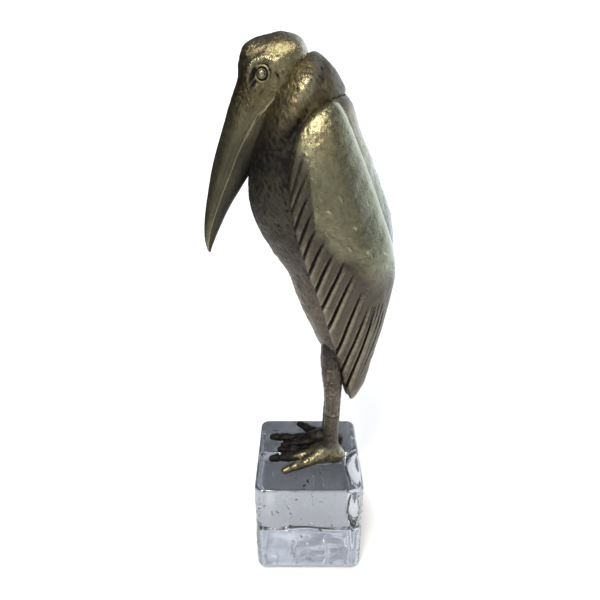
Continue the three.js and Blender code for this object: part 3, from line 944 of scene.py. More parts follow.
@dataclass
class HeadCasting(Casting):
    """Skull and bill, parted along the bill's cutting edge, with the eyes' sockets.

    Attributes:
        form: Ribs of the head and the closed bill, from the nape to the bill's tip.
        cutting_edge: Where the upper bill meets the lower one in side view, from throat to tip.
        face_line: The raised line from the nape to the bill's tip, just above the cutting edge.
        eye: Place of the eye's centre in side view.
    """

    pitch: float = 0.33
    eye: Point = (-20.9, 205.9)
    form: Table = (
        (-2, 216.5, -1, 213, 4),
        (-4.6, 220.2, -1.5, 208.8, 9.5),
        (-9, 222.3, -4.5, 204.5, 12),
        (-15, 222.6, -7.5, 199, 13),
        (-22, 221.2, -9.5, 193, 13),
        (-28, 218.5, -11.5, 188, 12.3),
        (-31, 214, -13, 184.5, 11.7),
        (-32.2, 207, -15, 181, 11),
        (-33.3, 202, -17.5, 177.5, 10.3),
        (-35.4, 197.2, -21, 173, 9.5),
        (-39.1, 187.1, -26, 167, 8.4),
        (-42.9, 176.6, -30.5, 160.5, 7.4),
        (-46.4, 165.8, -35.5, 153, 6.3),
        (-49.1, 154.6, -40, 145.8, 5.2),
        (-51.4, 143, -44.5, 137, 4),
        (-52.3, 132, -48, 129.5, 2.6),
        (-51.2, 125.5, -50, 124.2, 1),
    )
    cutting_edge: Table = (
        (4, 188),
        (-12, 188.5),
        (-21.5, 190.5),
        (-25.5, 185),
        (-30.9, 176.3),
        (-35.6, 166.4),
        (-40.4, 156.1),
        (-44, 147.7),
        (-48, 137.2),
        (-50, 128.4),
        (-50.9, 121),
    )
    face_line: Table = (
        (-3.5, 212.5),
        (-10, 203.9),
        (-16.1, 196),
        (-23.4, 187.8),
        (-29.9, 177.8),
        (-34.6, 168.2),
        (-39.6, 157.9),
        (-43.3, 149.3),
        (-47.6, 138.3),
        (-50, 128.5),
    )

    def marks(self, lattice: Lattice) -> Marks:
        """Draws the face: brow, eyelids, lore, crown and the bill's edge."""
        marks = Marks(lattice.axis(0), lattice.axis(2))
        x, z = self.eye
        ring = [(x + 2.3 * math.cos(a), z + 2.4 * math.sin(a)) for a in np.linspace(0, 2 * np.pi, 13)]
        rim = [(x + 2.9 * math.cos(a), z + 3.1 * math.sin(a)) for a in np.linspace(-1.3, 3.4, 11)]
        lid = [(x + 3.6 * math.cos(a), z + 3.8 * math.sin(a)) for a in np.linspace(-1.0, 2.4, 9)]
        marks.line(tuple(ring), 0.55, 0.36, (0, 0))
        marks.line(tuple(rim), -0.3, 0.4, (0.2, 0.2))
        marks.line(tuple(lid), 0.28, 0.32, (0.3, 0.3))
        marks.line(((x - 2.2, z + 2.6), (x - 4.2, z - 0.6), (x - 6.2, z - 5)), 1.15, 1.0, (0.2, 0.5))
        marks.line(((x - 2.4, z - 2.4), (x - 4.2, z - 4.2), (x - 5.9, z - 6.2)), 0.7, 0.8, (0.1, 0.5))
        marks.line(((x - 7, z + 1), (x - 4.2, z + 4.4), (x + 1.2, z + 6), (x + 6.2, z + 3.6)), -0.7, 1.1)
        marks.line(((x - 5.6, z + 6.6), (x, z + 8.4), (x + 7.5, z + 7.5)), 0.16, 0.9, (0.4, 0.5))
        marks.line(((x + 4.8, z + 1.5), (x + 7, z - 1.5), (x + 6.5, z - 6)), 0.4, 0.7, (0.3, 0.6))
        marks.line(((x + 2, z - 5), (x - 1, z - 8), (x - 2.2, z - 13)), 0.3, 0.8, (0.3, 0.6))
        marks.line(self.face_line[1:], -0.4, 0.5, (0.08, 0.05))
        above = tuple((a - 1.2, b + 1.0) for a, b in self.face_line[2:-1])
        marks.line(above, 0.22, 0.5, (0.15, 0.1))
        ridge = tuple((0.62 * a - 0.38 * (39 - 0.42 * (b - 170)), b + 3) for a, b in self.face_line[4:-1])
        marks.line(ridge, 0.16, 0.9, (0.3, 0.3))
        marks.dome((-19.5, 224), (4.0, 4.6), -1.15)
        marks.dome((-27.5, 219.5), (3.4, 4), 0.35)
        marks.dome((-15, 210.5), (3.5, 3), 0.35)
        marks.flecks(240, 5, lambda u, v: 150 + 2 * u, (1.4, 4.0), (0.07, 0.22), 0.42,
                     lambda u, v: v > 196 - 0.9 * u - 20 and v > 205)
        marks.flecks(60, 6, lambda u, v: 66, (6, 16), (0.03, 0.09), 0.4, lambda u, v: v < 200)
        return marks

    def edge_distance(self, lattice: Lattice) -> Array:
        """Distance from the cutting edge in side view, negative on the lower bill's side."""
        path = spline(np.array(self.cutting_edge), 80)
        outline = np.concatenate([path, [(-40, 121), (10, 121)], [(10, 188)]])
        return outline_distance(lattice.axis(0), lattice.axis(2), outline)[:, None, :]

    def whole(self, lattice: Lattice) -> tuple[Array, Marks]:
        """Head and closed bill in one field, chased and uneven as cast."""
        marks = self.marks(lattice)
        values = lattice.field(ribbed(self.form, 220, 130))
        _, y, z = lattice.grid()
        skull = np.clip((z - 178) / 24, 0.25, 1)
        values = values + skull * (0.05 * lattice.noise(2.2, 11) + 0.09 * lattice.noise(9, 12))
        facing = np.clip((np.abs(y) - 1.0) / 3.0, 0.25, 1)
        return (values - marks.height[:, None, :] * facing).astype(np.float32), marks

    def build(self) -> None:
        """Makes the head with the upper bill, and the lower bill."""
        for node, below in (("head", False), ("lower_bill", True)):
            lattice = Lattice.around(node, self.pitch, self.drop)
            values, marks = self.whole(lattice)
            edge = self.edge_distance(lattice)
            part = edge - 0.05 if below else -edge - 0.05
            values = common(values, part, 0.35)
            self.piece(node + "_casting", node, lattice, values, Slot.BRIGHT if below else Slot.ANTIQUE,
                       lambda points, m=marks, b=below: self.tones(points, m, b))

    def tones(self, points: Array, marks: Marks, below: bool) -> dict[str, Array]:
        """Dirt in the chased lines and round the eye, painted shade on the bill and more on the lower bill,
        brighter towards the crown.
        """
        x, _, z = points.T
        cut = marks.read(marks.cut, x, z)
        lift = marks.read(np.clip(marks.lift, 0, 1), x, z)
        eye = np.hypot(x - self.eye[0] + 1.2, z - self.eye[1] + 0.8)
        dirt_and_shade = np.clip(cut * 1.2, 0, 0.9) + 0.15 * np.exp(-((eye / 4.6) ** 4))
        bill = np.clip((196 - z) / 20, 0, 1)
        # Painted shade: the bill darkened for its dark reflections, the lower bill more for the shade under
        # the cutting edge.
        dirt_and_shade = dirt_and_shade + 0.38 * bill + (0.36 if below else 0.0)
        # Rubbed on the raised marks, and brighter above the bill and towards the crown.
        rub_and_highlight = np.clip(lift * 0.8, 0, 0.5) + 0.12 * np.clip((z - 213) / 6, 0, 1) + 0.1 * (1 - bill)
        return {"dirt_and_shade": dirt_and_shade, "rub_and_highlight": rub_and_highlight * (0.3 if below else 1.0), "tone": 0.1 + 0.3 * bill,
                "polish": 0.85 * bill}


@dataclass
class BodyCasting(Casting):
    """The two castings of the body: neck, breast and belly in front, mantle and back behind.

    Attributes:
        torso: Slices of the body.
        neck: Ribs of the neck ruff and throat, from the nape to the breast.
        seam: Where the two castings meet, in side view, under the wings.
        valley: The fold between the ruff's front roll and its rear cape, in side view.
        back_pitch: Spacing of the field of the back casting.
        head_gap: Gap to the head and bill, under zero because the castings overlap out of sight.
    """

    soot: float = 0.55
    pitch: float = 0.54
    back_pitch: float = 0.476
    head_gap: float = -0.35

    torso: Table = (
        (200.5, 5, 12.5, 5),
        (196, 0, 17.2, 12),
        (190, -9, 20, 17.5),
        (180, -16.5, 24, 22),
        (168, -22.5, 29.5, 24.5),
        (155, -27.5, 35, 25.5),
        (142, -25.6, 39.5, 25.5),
        (128, -19.8, 41.3, 24.5),
        (115, -11.3, 40.2, 22.5),
        (100, -6, 37.8, 19.5),
        (85, 0.6, 34.8, 16),
        (74, 5.6, 31.5, 12.5),
        (60, 14, 29, 9),
        (48, 18.5, 26.5, 6),
        (42, 20.5, 24.5, 3),
    )
    neck: Table = (
        (-6, 212.5, 2, 215.4, 6),
        (-11, 209.5, 8.8, 210, 12),
        (-15.5, 204.5, 13.6, 203.4, 15.5),
        (-19, 200, 15.2, 198.2, 17),
        (-22, 192, 10, 191, 17.5),
        (-25, 183, 4, 184, 18),
        (-27.5, 172, 0, 174, 18.5),
        (-29, 161.5, -2, 162, 19),
        (-28, 152, -2, 148, 19),
        (-25.5, 143, 0, 138, 17),
        (-20.5, 135, 2, 130, 13),
    )
    seam: Table = (
        (-6, 225), (-3, 195), (0, 180), (6, 150), (12, 120), (16, 95), (19, 78), (23, 60), (27, 30),
    )
    valley: Table = (
        (5.0, 216), (4.8, 210), (3.8, 204), (1.0, 197), (-3.2, 190), (-7.4, 183.5), (-11, 176.5),
        (-14, 168),
    )

    def front_marks(self, lattice: Lattice) -> Marks:
        """Draws the neck's folds in side view."""
        marks = Marks(lattice.axis(0), lattice.axis(2))
        marks.line(self.valley, 0.85, 2.4, (0.12, 0.4))
        roll = tuple((x - 6.2, z - 1.5) for x, z in self.valley[1:])
        marks.line(roll, -1.3, 3.8, (0.1, 0.35))
        marks.line(((-4.5, 184), (-8.5, 177), (-10.5, 168), (-11.5, 157)), 0.6, 1.6, (0.3, 0.4))
        marks.line(((-17.6, 176.2), (-14.5, 175.4), (-11, 175.6)), 0.6, 0.8, (0.3, 0.3))
        return marks

    def hair(self, seed: int) -> Marks:
        """Draws the hair-like plumes round the neck and breast, by angle round the body and height."""
        marks = Marks(np.arange(-66, 66, 0.22), np.arange(36, 220, 0.22))

        def lean(u: float, v: float) -> float:
            """Strokes fan out from the middle of the breast."""
            return 90 + math.copysign(18 + 0.12 * abs(v - 150), u)

        marks.flecks(9000, seed, lean, (1.6, 4.4), (0.06, 0.18), 0.28, lambda u, v: True)
        marks.flecks(5000, seed + 1, lean, (1.8, 4.5), (-0.2, -0.06), 0.34, lambda u, v: True)
        marks.flecks(2000, seed + 2, lean, (2.4, 5.0), (0.12, 0.3), 0.3,
                     lambda u, v: 160 < v < 192 and abs(u) < 30)
        return marks

    def around(self, x: Array, y: Array, z: Array) -> Array:
        """How far round the body a point lies from the breast's middle, in millimetres at its girth."""
        rows = spline(np.array(self.torso), 120)
        heights, middles = rows[::-1, 0], rows[::-1, 1:3].mean(1)
        lean = np.interp(z.ravel(), heights, middles).reshape(z.shape)
        lean = lean + 6.0 * np.clip((z - 170) / 40, -1, 0) - 8.0 * np.clip((z - 175) / 30, 0, 1)
        return np.arctan2(y, lean - x) * 20.0

    def build(self) -> None:
        """Makes the breast casting and the back casting."""
        hair = self.hair(31)
        for node, ahead in (("breast_shell", True), ("back_shell", False)):
            lattice = Lattice.around(node, self.pitch if ahead else self.back_pitch, self.drop)
            x, y, z = lattice.grid()
            torso = lattice.field(sliced(self.torso), 11)
            neck = lattice.field(ribbed(self.neck), 11)
            head = lattice.field(ribbed(HeadCasting.form, 160, 90), 7)
            side = Marks(lattice.axis(0), lattice.axis(2))
            if ahead:
                side = self.front_marks(lattice)
            facing = np.clip((np.abs(y) - 3) / 8, 0.0, 1)
            neck = neck - side.height[:, None, :] * facing
            seam = self.seam_distance(lattice)
            if ahead:
                throat = np.clip((186 - z) / 12, 0.2, 1) * 6.0
                values = joined(neck, common(torso, seam, 0.4), throat)
                for sign in (-1, 1):
                    thigh = lattice.field(sliced(Leg.thigh, sign * Leg.out), 10)
                    values = joined(values, thigh, 3.0)
            else:
                values = parted(common(torso, 0.15 - seam, 0.4), neck, 0.1)
            round_body = self.around(x, y, z)
            depth = hair.read(hair.height, np.broadcast_to(round_body, values.shape),
                              np.broadcast_to(z, values.shape))
            values = values - depth * (1.0 if ahead else 0.12)
            values = values + 0.05 * lattice.noise(2.5, 21) + 0.12 * lattice.noise(9, 22)
            values = parted(values.astype(np.float32), head, self.head_gap)
            name = "breast_casting" if ahead else "back_casting"
            self.piece(name, node, lattice, values, Slot.ANTIQUE,
                       lambda points, s=side: self.tones(points, hair, s))

    def seam_distance(self, lattice: Lattice) -> Array:
        """Distance from the seam in side view, negative in front of it."""
        outline = np.array([*self.seam, (-80, 30), (-80, 225)], float)
        return outline_distance(lattice.axis(0), lattice.axis(2), outline)[:, None, :]

    def tones(self, points: Array, hair: Marks, side: Marks) -> dict[str, Array]:
        """Dirt between the plumes and in the folds, warmer at the neck and greyer at the belly; painted
        shade on the throat, darker on the cape and the front of the belly, a painted highlight on the neck
        roll and a mantle lightened as a painted reflection.
        """
        x, y, z = points.T
        round_body = self.around(x, y, z)
        cut = hair.read(hair.cut, round_body, z)
        fold = side.read(side.cut, x, z)
        # throat: painted shade under the bill, held back where the neck roll's painted highlight lies.
        throat = np.exp(-(((z - 172) / 24) ** 2)) * np.clip((6 - x) / 16, 0, 1)
        cape = np.clip((x + 1) / 5, 0, 1) * np.clip((z - 190) / 6, 0, 1)
        # roll: where the neck roll's painted highlight keeps the dirt and painted shade away.
        roll = np.exp(-(((z - 200) / 12) ** 2)) * np.clip((x + 12) / 6, 0, 1)
        dirt_and_shade = (np.clip(cut * 1.3, 0, 0.5) * (1 - 0.9 * roll) + np.clip(fold * 0.08, 0, 0.1)
                + 0.84 * throat * (1 - roll) + 0.46 * cape)
        belly = np.clip((165 - z) / 20, 0, 1) * np.clip((z - 95) / 40, 0, 1) * np.clip((6 - x) / 12, 0, 1)
        dirt_and_shade = dirt_and_shade + 0.34 * belly
        tone = 0.05 + 0.95 * np.clip((178 - z) / 45, 0, 1)
        # mantle: less dirt, lightening it as a painted pale reflection, and a smoother skin.
        mantle = np.clip((x - 14) / 8, 0, 1)
        # A painted highlight on the neck roll, also kept smoother.
        painted_roll_highlight = np.exp(-(((x + 3) / 3.6) ** 2) - (((z - 201) / 9) ** 2))
        return {"dirt_and_shade": dirt_and_shade * (1 - 0.6 * mantle), "rub_and_highlight": 0.5 * painted_roll_highlight, "tone": tone,
                "polish": 0.75 * mantle + 0.35 * painted_roll_highlight}


@dataclass
class Wing(Casting):
    """A folded wing: smooth coverts over long flight feathers.

    Attributes:
        form: Slices of the outside of both wings together.
        front: The wing's front edge in side view, over the feather tips.
        back: Its back edge beside the mantle.
        coverts: The lower edge of the coverts.
        furrows: The furrows between the flight feathers, each from the coverts to the feather tips.
        hairlines: The fine lines between the last feathers.
        body_gap: Gap to the body, under zero because the castings overlap out of sight.
        neck_gap: Gap to the neck, the same way.
    """

    soot: float = 0.7
    pitch: float = 0.438
    body_gap: float = -1.4
    neck_gap: float = -0.3

    form: Table = (
        (203, 2, 11, 6),
        (199, -3, 15.5, 13),
        (194, -8, 19, 19),
        (185, -16, 23.5, 24.5),
        (172, -22, 29.5, 27.5),
        (155, -26, 36.5, 28.5),
        (140, -25, 42, 28.5),
        (128, -20, 43.3, 27.5),
        (115, -13, 43.3, 25.5),
        (100, -6, 41.4, 22.5),
        (85, 1, 38.7, 19.5),
        (70, 8, 35.2, 15.5),
        (56, 13, 32.2, 11.5),
        (46, 16, 29, 8),
        (39, 19, 25, 3.5),
    )
    front: Table = (
        (8.5, 196), (2.5, 192.6), (-6.3, 183.4), (-10.1, 170.3), (-10.1, 157.8), (-8.1, 144.2),
        (-3.7, 128.1), (2.5, 109.3), (8.1, 91.5), (13.4, 73), (17.3, 59), (20.5, 47), (22.5, 40.5),
    )
    back: Table = (
        (11, 195), (14.4, 190.4), (21.3, 175.4), (28.8, 158.1), (35.8, 140.6), (40, 130), (43.4, 118),
        (46, 104),
    )
    coverts: Table = (
        (-5, 176.6), (-1.2, 169.9), (-0.3, 160.5), (1, 152.4), (2, 144.5), (6.4, 140), (10.1, 133.9),
        (15.6, 130.1), (20.5, 124.2), (24.3, 114.8), (28.6, 107.2), (33, 105.5), (39, 108),
    )
    furrows: tuple[Table, ...] = (
        ((-5.4, 182), (-8.3, 172), (-10, 163), (-10.7, 155)),
        ((-2.9, 178), (-5, 170.2), (-8, 161), (-10.6, 151.5)),
        ((-1, 170), (-4.6, 161.5), (-8, 152.8), (-10, 146)),
        ((-0.5, 160.5), (-3.4, 154), (-6, 147), (-8.6, 139)),
        ((0.8, 152.4), (-1.7, 146.5), (-4.2, 139.5), (-6.6, 131.5)),
        ((1.9, 144.3), (-0.6, 138), (-2.8, 131), (-4.6, 124)),
        ((6.6, 140.2), (3.3, 133), (0.6, 125.5), (-1.8, 117)),
        ((10.2, 133.7), (7.2, 126.5), (4.4, 118.5), (1.4, 107.5)),
        ((15.5, 130.1), (12.2, 121), (8.2, 110), (4.2, 97.5)),
        ((20.3, 124), (16.4, 114), (12.4, 102), (7.8, 86)),
        ((24.6, 114.5), (21, 103), (17.4, 90), (12.6, 70)),
        ((28.8, 106.9), (25.2, 94), (21.2, 80), (16.8, 62), (16.6, 52)),
        ((32.2, 105.2), (30, 94), (26.2, 78), (22.2, 62), (18.6, 44)),
    )
    hairlines: tuple[Table, ...] = (
        ((30.2, 104.5), (28.6, 97), (26.8, 90)),
        ((31.3, 103.8), (29.8, 97.5), (28.6, 92.5)),
        ((33.8, 104.5), (32.6, 98), (30.8, 91)),
        ((35.6, 104), (34.2, 95), (31.6, 84)),
        ((36.8, 100), (34.4, 86), (30, 70), (25.5, 56)),
    )

    def marks(self, lattice: Lattice) -> Marks:
        """Draws the feathers: furrows, quills, covert edges and the chaser's small strokes."""
        marks = Marks(lattice.axis(0), lattice.axis(2))
        for number, furrow in enumerate(self.furrows):
            marks.line(furrow, min(0.2 + 0.1 * number, 0.95), 0.31, (0.35, 0.0), 0.7)
            shoulder = tuple((x + 2.0, z + 0.7) for x, z in furrow)
            marks.line(shoulder, -min(0.15 + 0.06 * number, 0.55), 1.35, (0.3, 0.1))
            if number > 6:
                quill = tuple((x + 2.6 + 0.1 * number, z + 1.0) for x, z in furrow)
                marks.line(quill, 0.16, 0.32, (0.3, 0.2))
        for line in self.hairlines:
            marks.line(line, 0.42, 0.36, (0.1, 0.3))
        self._coverts(marks)
        return marks

    def _coverts(self, marks: Marks) -> None:
        """Rounds the lower edge of the coverts and scatters the small marks above it."""
        edge = spline(np.array(self.coverts), 27)

        def above(u: float, v: float) -> bool:
            """Whether a place lies on the coverts."""
            return v > np.interp(u, edge[:, 0], edge[:, 1]) + 1

        def near(u: float, v: float) -> bool:
            """Whether a place lies on the coverts' lower part."""
            return above(u, v) and v < np.interp(u, edge[:, 0], edge[:, 1]) + 26

        marks.flecks(46, 41, lambda u, v: -52, (2.2, 5.5), (-0.42, -0.2), 0.42, near)
        marks.flecks(60, 42, lambda u, v: -58, (2.0, 5.0), (0.12, 0.36), 0.42, near)
        marks.flecks(420, 43, lambda u, v: -62, (1.6, 4.5), (0.03, 0.1), 0.4, above)
        marks.flecks(160, 44, lambda u, v: -95, (3.0, 8.0), (0.08, 0.24), 0.42,
                     lambda u, v: above(u, v) and v > 160 and u < 8)
        marks.flecks(420, 45, lambda u, v: 66, (2.0, 6.0), (0.04, 0.14), 0.34,
                     lambda u, v: not above(u, v))

    def outline(self) -> Array:
        """The wing's outline in side view, one corner per row."""
        return np.concatenate([spline(np.array(self.front), 90), [(24, 36), (70, 36), (70, 104)],
                               spline(np.array(self.back), 50)[::-1]])

    def build(self) -> None:
        """Makes the left wing, and the right one as its mirror image."""
        lattice = Lattice.around("left_wing", self.pitch, self.drop)
        _, y, z = lattice.grid()
        marks = self.marks(lattice)
        outside = lattice.field(sliced(self.form), 11)
        body = lattice.field(sliced(BodyCasting.torso), 9)
        neck = lattice.field(ribbed(BodyCasting.neck), 9)
        rim = outline_distance(lattice.axis(0), lattice.axis(2), self.outline())[:, None, :]
        values = outside - marks.height[:, None, :]
        values = values + 0.022 * lattice.noise(2.5, 51) + 0.09 * lattice.noise(10, 52)
        values = common(values.astype(np.float32), rim, 2.4)
        values = common(values, np.broadcast_to(y + 0.25, values.shape), 0.6)
        values = parted(parted(values, body, self.body_gap), neck, self.neck_gap)
        for side in Side:
            self.piece(f"{side.label}_wing_casting", f"{side.label}_wing", lattice, values, Slot.ANTIQUE,
                       lambda points: self.tones(points, marks), flip=side is Side.RIGHT)

    def tones(self, points: Array, marks: Marks) -> dict[str, Array]:
        """Black furrows, olive coverts, brown feathers, and a painted highlight on the shoulder."""
        x, _, z = points.T
        edge = spline(np.array(self.coverts), 60)
        over = z - np.interp(x, edge[:, 0], edge[:, 1])
        behind = np.clip((x - 14) / 12, 0, 1)
        above = np.clip((over - 12 * behind) / (9 + 5 * behind) + 0.6, 0, 1)
        cut = marks.read(marks.cut, x, z)
        lift = marks.read(np.clip(marks.lift, 0, 1), x, z) * np.clip(over / 3, 0, 1)
        # shoulder: a painted highlight, warmer in tone and brighter.
        shoulder = np.exp(-(((x - 4) / 8) ** 2) - (((z - 181) / 10) ** 2))
        tone = 0.95 - 0.45 * above - 0.4 * shoulder
        early = np.clip((165 - z) / 25, 0.35, 1)
        middle = np.exp(-(((z - 138) / 20) ** 2))
        dirt_and_shade = np.clip(cut * 1.3 - 0.1, 0, 1) * early + (0.14 + 0.16 * middle) * (1 - above)
        rub_and_highlight = 0.45 * shoulder + 0.09 * above + np.clip(lift * 1.6, 0, 0.5)
        return {"dirt_and_shade": dirt_and_shade, "rub_and_highlight": rub_and_highlight, "tone": tone, "polish": 0.35 * above}


@dataclass
class Leg(Casting):
    """The legs, from the belly to the seam above the ankle.

    Attributes:
        form: Slices of one leg, from inside the belly to the sole.
        seam: Height of the seam between leg and foot.
        out: How far a leg's middle stands from the middle plane.
        thigh: Slices of the swelling of the belly above a leg.
    """

    pitch: float = 0.3
    seam: float = 32.0
    form: Table = (
        (95, 9.5, 20, 4.4),
        (86, 8, 19.8, 4.9),
        (77, 6.6, 19, 5.2),
        (68, 6.8, 18.5, 5),
        (59, 6.5, 18.4, 5.2),
        (50, 7.8, 18, 4.7),
        (40, 8.8, 17.6, 4.4),
        (32, 8.9, 17.4, 4.2),
        (24, 8.5, 17.1, 4.1),
        (17, 8.3, 16.8, 4.1),
        (11, 8.3, 17.4, 4.6),
        (6, 7.5, 19.4, 5),
        (1, 8.5, 18.6, 4.6),
    )
    out: float = 6.3
    thigh: Table = (
        (112, -3, 24, 10),
        (100, 1, 22.5, 9),
        (90, 4.6, 21.5, 7.2),
        (83, 6.4, 20, 5.6),
        (79.5, 8, 18, 3.6),
    )

    @staticmethod
    def skin(lattice: Lattice, seed: int) -> Marks:
        """Draws the scaly wrinkles of a leg, in side view."""
        marks = Marks(lattice.axis(0), lattice.axis(2))
        marks.flecks(150, seed, lambda u, v: 8, (1.5, 4.0), (0.05, 0.16), 0.34, lambda u, v: True)
        marks.flecks(60, seed + 1, lambda u, v: 84, (3.0, 8.0), (0.05, 0.2), 0.38, lambda u, v: True)
        return marks

    def build(self) -> None:
        """Makes both legs."""
        for side in Side:
            node = f"{side.label}_leg"
            lattice = Lattice.around(node, self.pitch, self.drop)
            marks = self.skin(lattice, 61 + side.value)
            _, _, z = lattice.grid()
            values = lattice.field(sliced(self.form, side.value * self.out), 9)
            values = values - marks.height[:, None, :] + 0.06 * lattice.noise(3, 63 + side.value)
            values = common(values, np.broadcast_to(self.seam - z, values.shape), 0.15)
            values = common(values, np.broadcast_to(z - 95.0, values.shape), 0.35)
            self.piece(node + "_casting", node, lattice, values.astype(np.float32), Slot.ANTIQUE,
                       lambda points, m=marks: self.tones(points, m))

    def tones(self, points: Array, marks: Marks) -> dict[str, Array]:
        """Painted shade at the top of the leg under the belly, dirt in the wrinkles and a dark seam."""
        x, _, z = points.T
        dirt_and_shade = np.clip(marks.read(marks.cut, x, z) * 2.2, 0, 0.7)
        # Painted shade growing upward to the root under the belly.
        dirt_and_shade = dirt_and_shade + 0.7 * np.clip((z - 62) / 16, 0, 1) + 0.14 * np.clip((z - 40) / 20, 0, 1)
        joint = np.exp(-(((z - self.seam) / 0.8) ** 2))
        return {"dirt_and_shade": dirt_and_shade + 0.25 * joint, "rub_and_highlight": -joint, "tone": 1.2}


@dataclass
class Foot(Casting):
    """A foot: the lower shank, three knuckled front toes with nails, and a short hind toe.

    Attributes:
        ankle: Where the leg's middle meets the block, in x.
        toes: Degrees outward from straight ahead, and length, of the outer, middle and inner toe.
    """

    pitch: float = 0.27
    ankle: float = 12.5
    toes: dict[Side, Table] = field(default_factory=lambda: {
        Side.LEFT: ((24.4, 30.3), (3, 35.5), (-11.8, 31.5)),
        Side.RIGHT: ((46, 27), (8.6, 36.5), (-5, 29)),
    })

    def toe_point(self, side: Side, degrees: float, distance: float) -> tuple[float, float]:
        """A point on a toe's line, seen from above."""
        angle = math.radians(degrees)
        return (self.ankle - distance * math.cos(angle),
                side.value * (Leg.out + distance * math.sin(angle)))

    def toe(self, side: Side, degrees: float, length: float) -> tuple[Shell, Shell]:
        """One toe, knuckled, and its nail."""

        def at(share: float) -> tuple[float, float]:
            """A place along the toe."""
            return self.toe_point(side, degrees, length * share)

        knots = (
            (*self.toe_point(side, degrees, -1), 6.4, 4.6, 6.0),
            (*at(0.2), 5.1, 4.1, 4.9),
            (*at(0.36), 3.8, 3.1, 3.5),
            (*at(0.47), 3.3, 2.9, 3.1),
            (*at(0.58), 2.7, 2.5, 2.6),
            (*at(0.7), 2.7, 2.65, 2.75),
            (*at(0.77), 2.5, 2.4, 2.4),
            (*at(0.83), 2.3, 1.9, 1.8),
            (*at(0.88), 2.1, 0.6, 0.6),
        )
        nail = (
            (*at(0.815), 2.5, 0.6, 0.6),
            (*at(0.835), 2.4, 2.1, 2.15),
            (*at(0.88), 2.3, 2.3, 2.2),
            (*at(0.94), 2.0, 2.0, 1.9),
            (*at(0.985), 1.6, 1.6, 1.4),
            (*at(1.0), 1.4, 0.5, 0.5),
        )
        return limb(knots), limb(nail, 30)

    def build(self) -> None:
        """Makes both feet."""
        for side in Side:
            node = f"{side.label}_foot"
            lattice = Lattice.around(node, self.pitch, self.drop, 2.0)
            x, y, z = lattice.grid()
            shank = lattice.field(sliced(Leg.form, side.value * Leg.out), 9)
            values = shank
            nails = np.full(lattice.count, 9 * lattice.pitch, np.float32)
            for degrees, length in self.toes[side]:
                toe, nail = (lattice.field(form, 7) for form in self.toe(side, degrees, length))
                values = joined(values, toe, 1.6)
                nails = np.minimum(nails, nail)
            values = joined(values, lattice.field(limb(self.hind(side)), 7), 1.8)
            marks = Leg.skin(lattice, 71 + side.value)
            values = values + 0.05 * lattice.noise(2.2, 73 + side.value)
            values = values - marks.height[:, None, :] * 0.8
            values = joined(values, nails, 0.15)
            values = common(values, np.broadcast_to(0.25 - z, values.shape), 0.3)
            values = common(values, np.broadcast_to(z - Leg.seam, values.shape), 0.15)
            self.piece(node + "_casting", node, lattice, values.astype(np.float32), Slot.ANTIQUE,
                       lambda points, m=marks, s=side: self.tones(points, m, s))

    def hind(self, side: Side) -> Table:
        """The short hind toe."""
        x, y = self.ankle, side.value * Leg.out
        return (
            (x + 1, y, 5.0, 4.5, 5.0),
            (x + 4, y + side.value * 0.3, 4.2, 4.2, 4.2),
            (x + 6.8, y + side.value * 0.6, 3.4, 3.1, 3.2),
            (x + 8.2, y + side.value * 0.8, 2.9, 1.0, 1.2),
        )

    def tones(self, points: Array, marks: Marks, side: Side) -> dict[str, Array]:
        """Painted shade low down by the block and on the toes turned from the light, dirt in the wrinkles
        and in the groove behind each nail, painted highlights along the near toes.
        """
        x, y, z = points.T
        # Painted shade where the toes come down to the block.
        dirt_and_shade = np.clip(marks.read(marks.cut, x, z), 0, 0.3) + 0.9 * np.clip((3.0 - z) / 2.6, 0, 1)
        for degrees, length in self.toes[side]:
            cx, cy = self.toe_point(side, degrees, length * 0.83)
            dirt_and_shade = dirt_and_shade + 0.6 * np.exp(-((np.hypot(x - cx, y - cy) / 1.3) ** 2))
        middle = side.value * Leg.out
        ex, ey = self.toe_point(side, self.toes[side][0][0], 1.0)
        away = np.abs((x - self.ankle) * (ey - middle) - (y - middle) * (ex - self.ankle))
        low = np.clip((16 - z) / 9, 0, 1)
        behind = np.clip((x - self.ankle + 2) / 3, 0, 1)
        # shaded: the toes turned away from the light, which get painted shade low down and no painted
        # highlight.
        shaded = np.clip((away - 4) / 3, 0, 1) * (1 - behind) if side is Side.LEFT else 1.0
        joint = np.exp(-(((z - Leg.seam) / 0.8) ** 2))
        # A painted highlight along the tops of the near toes.
        rub_and_highlight = 0.7 * np.clip((z - 2.5) / 3, 0, 1) * np.clip((11 - z) / 4, 0, 1) * (1 - shaded)
        return {"dirt_and_shade": dirt_and_shade + low * (0.08 + 0.8 * shaded) + 0.25 * joint, "rub_and_highlight": rub_and_highlight - joint,
                "tone": 1.2 - 1.1 * low, "polish": 0.5 * low}


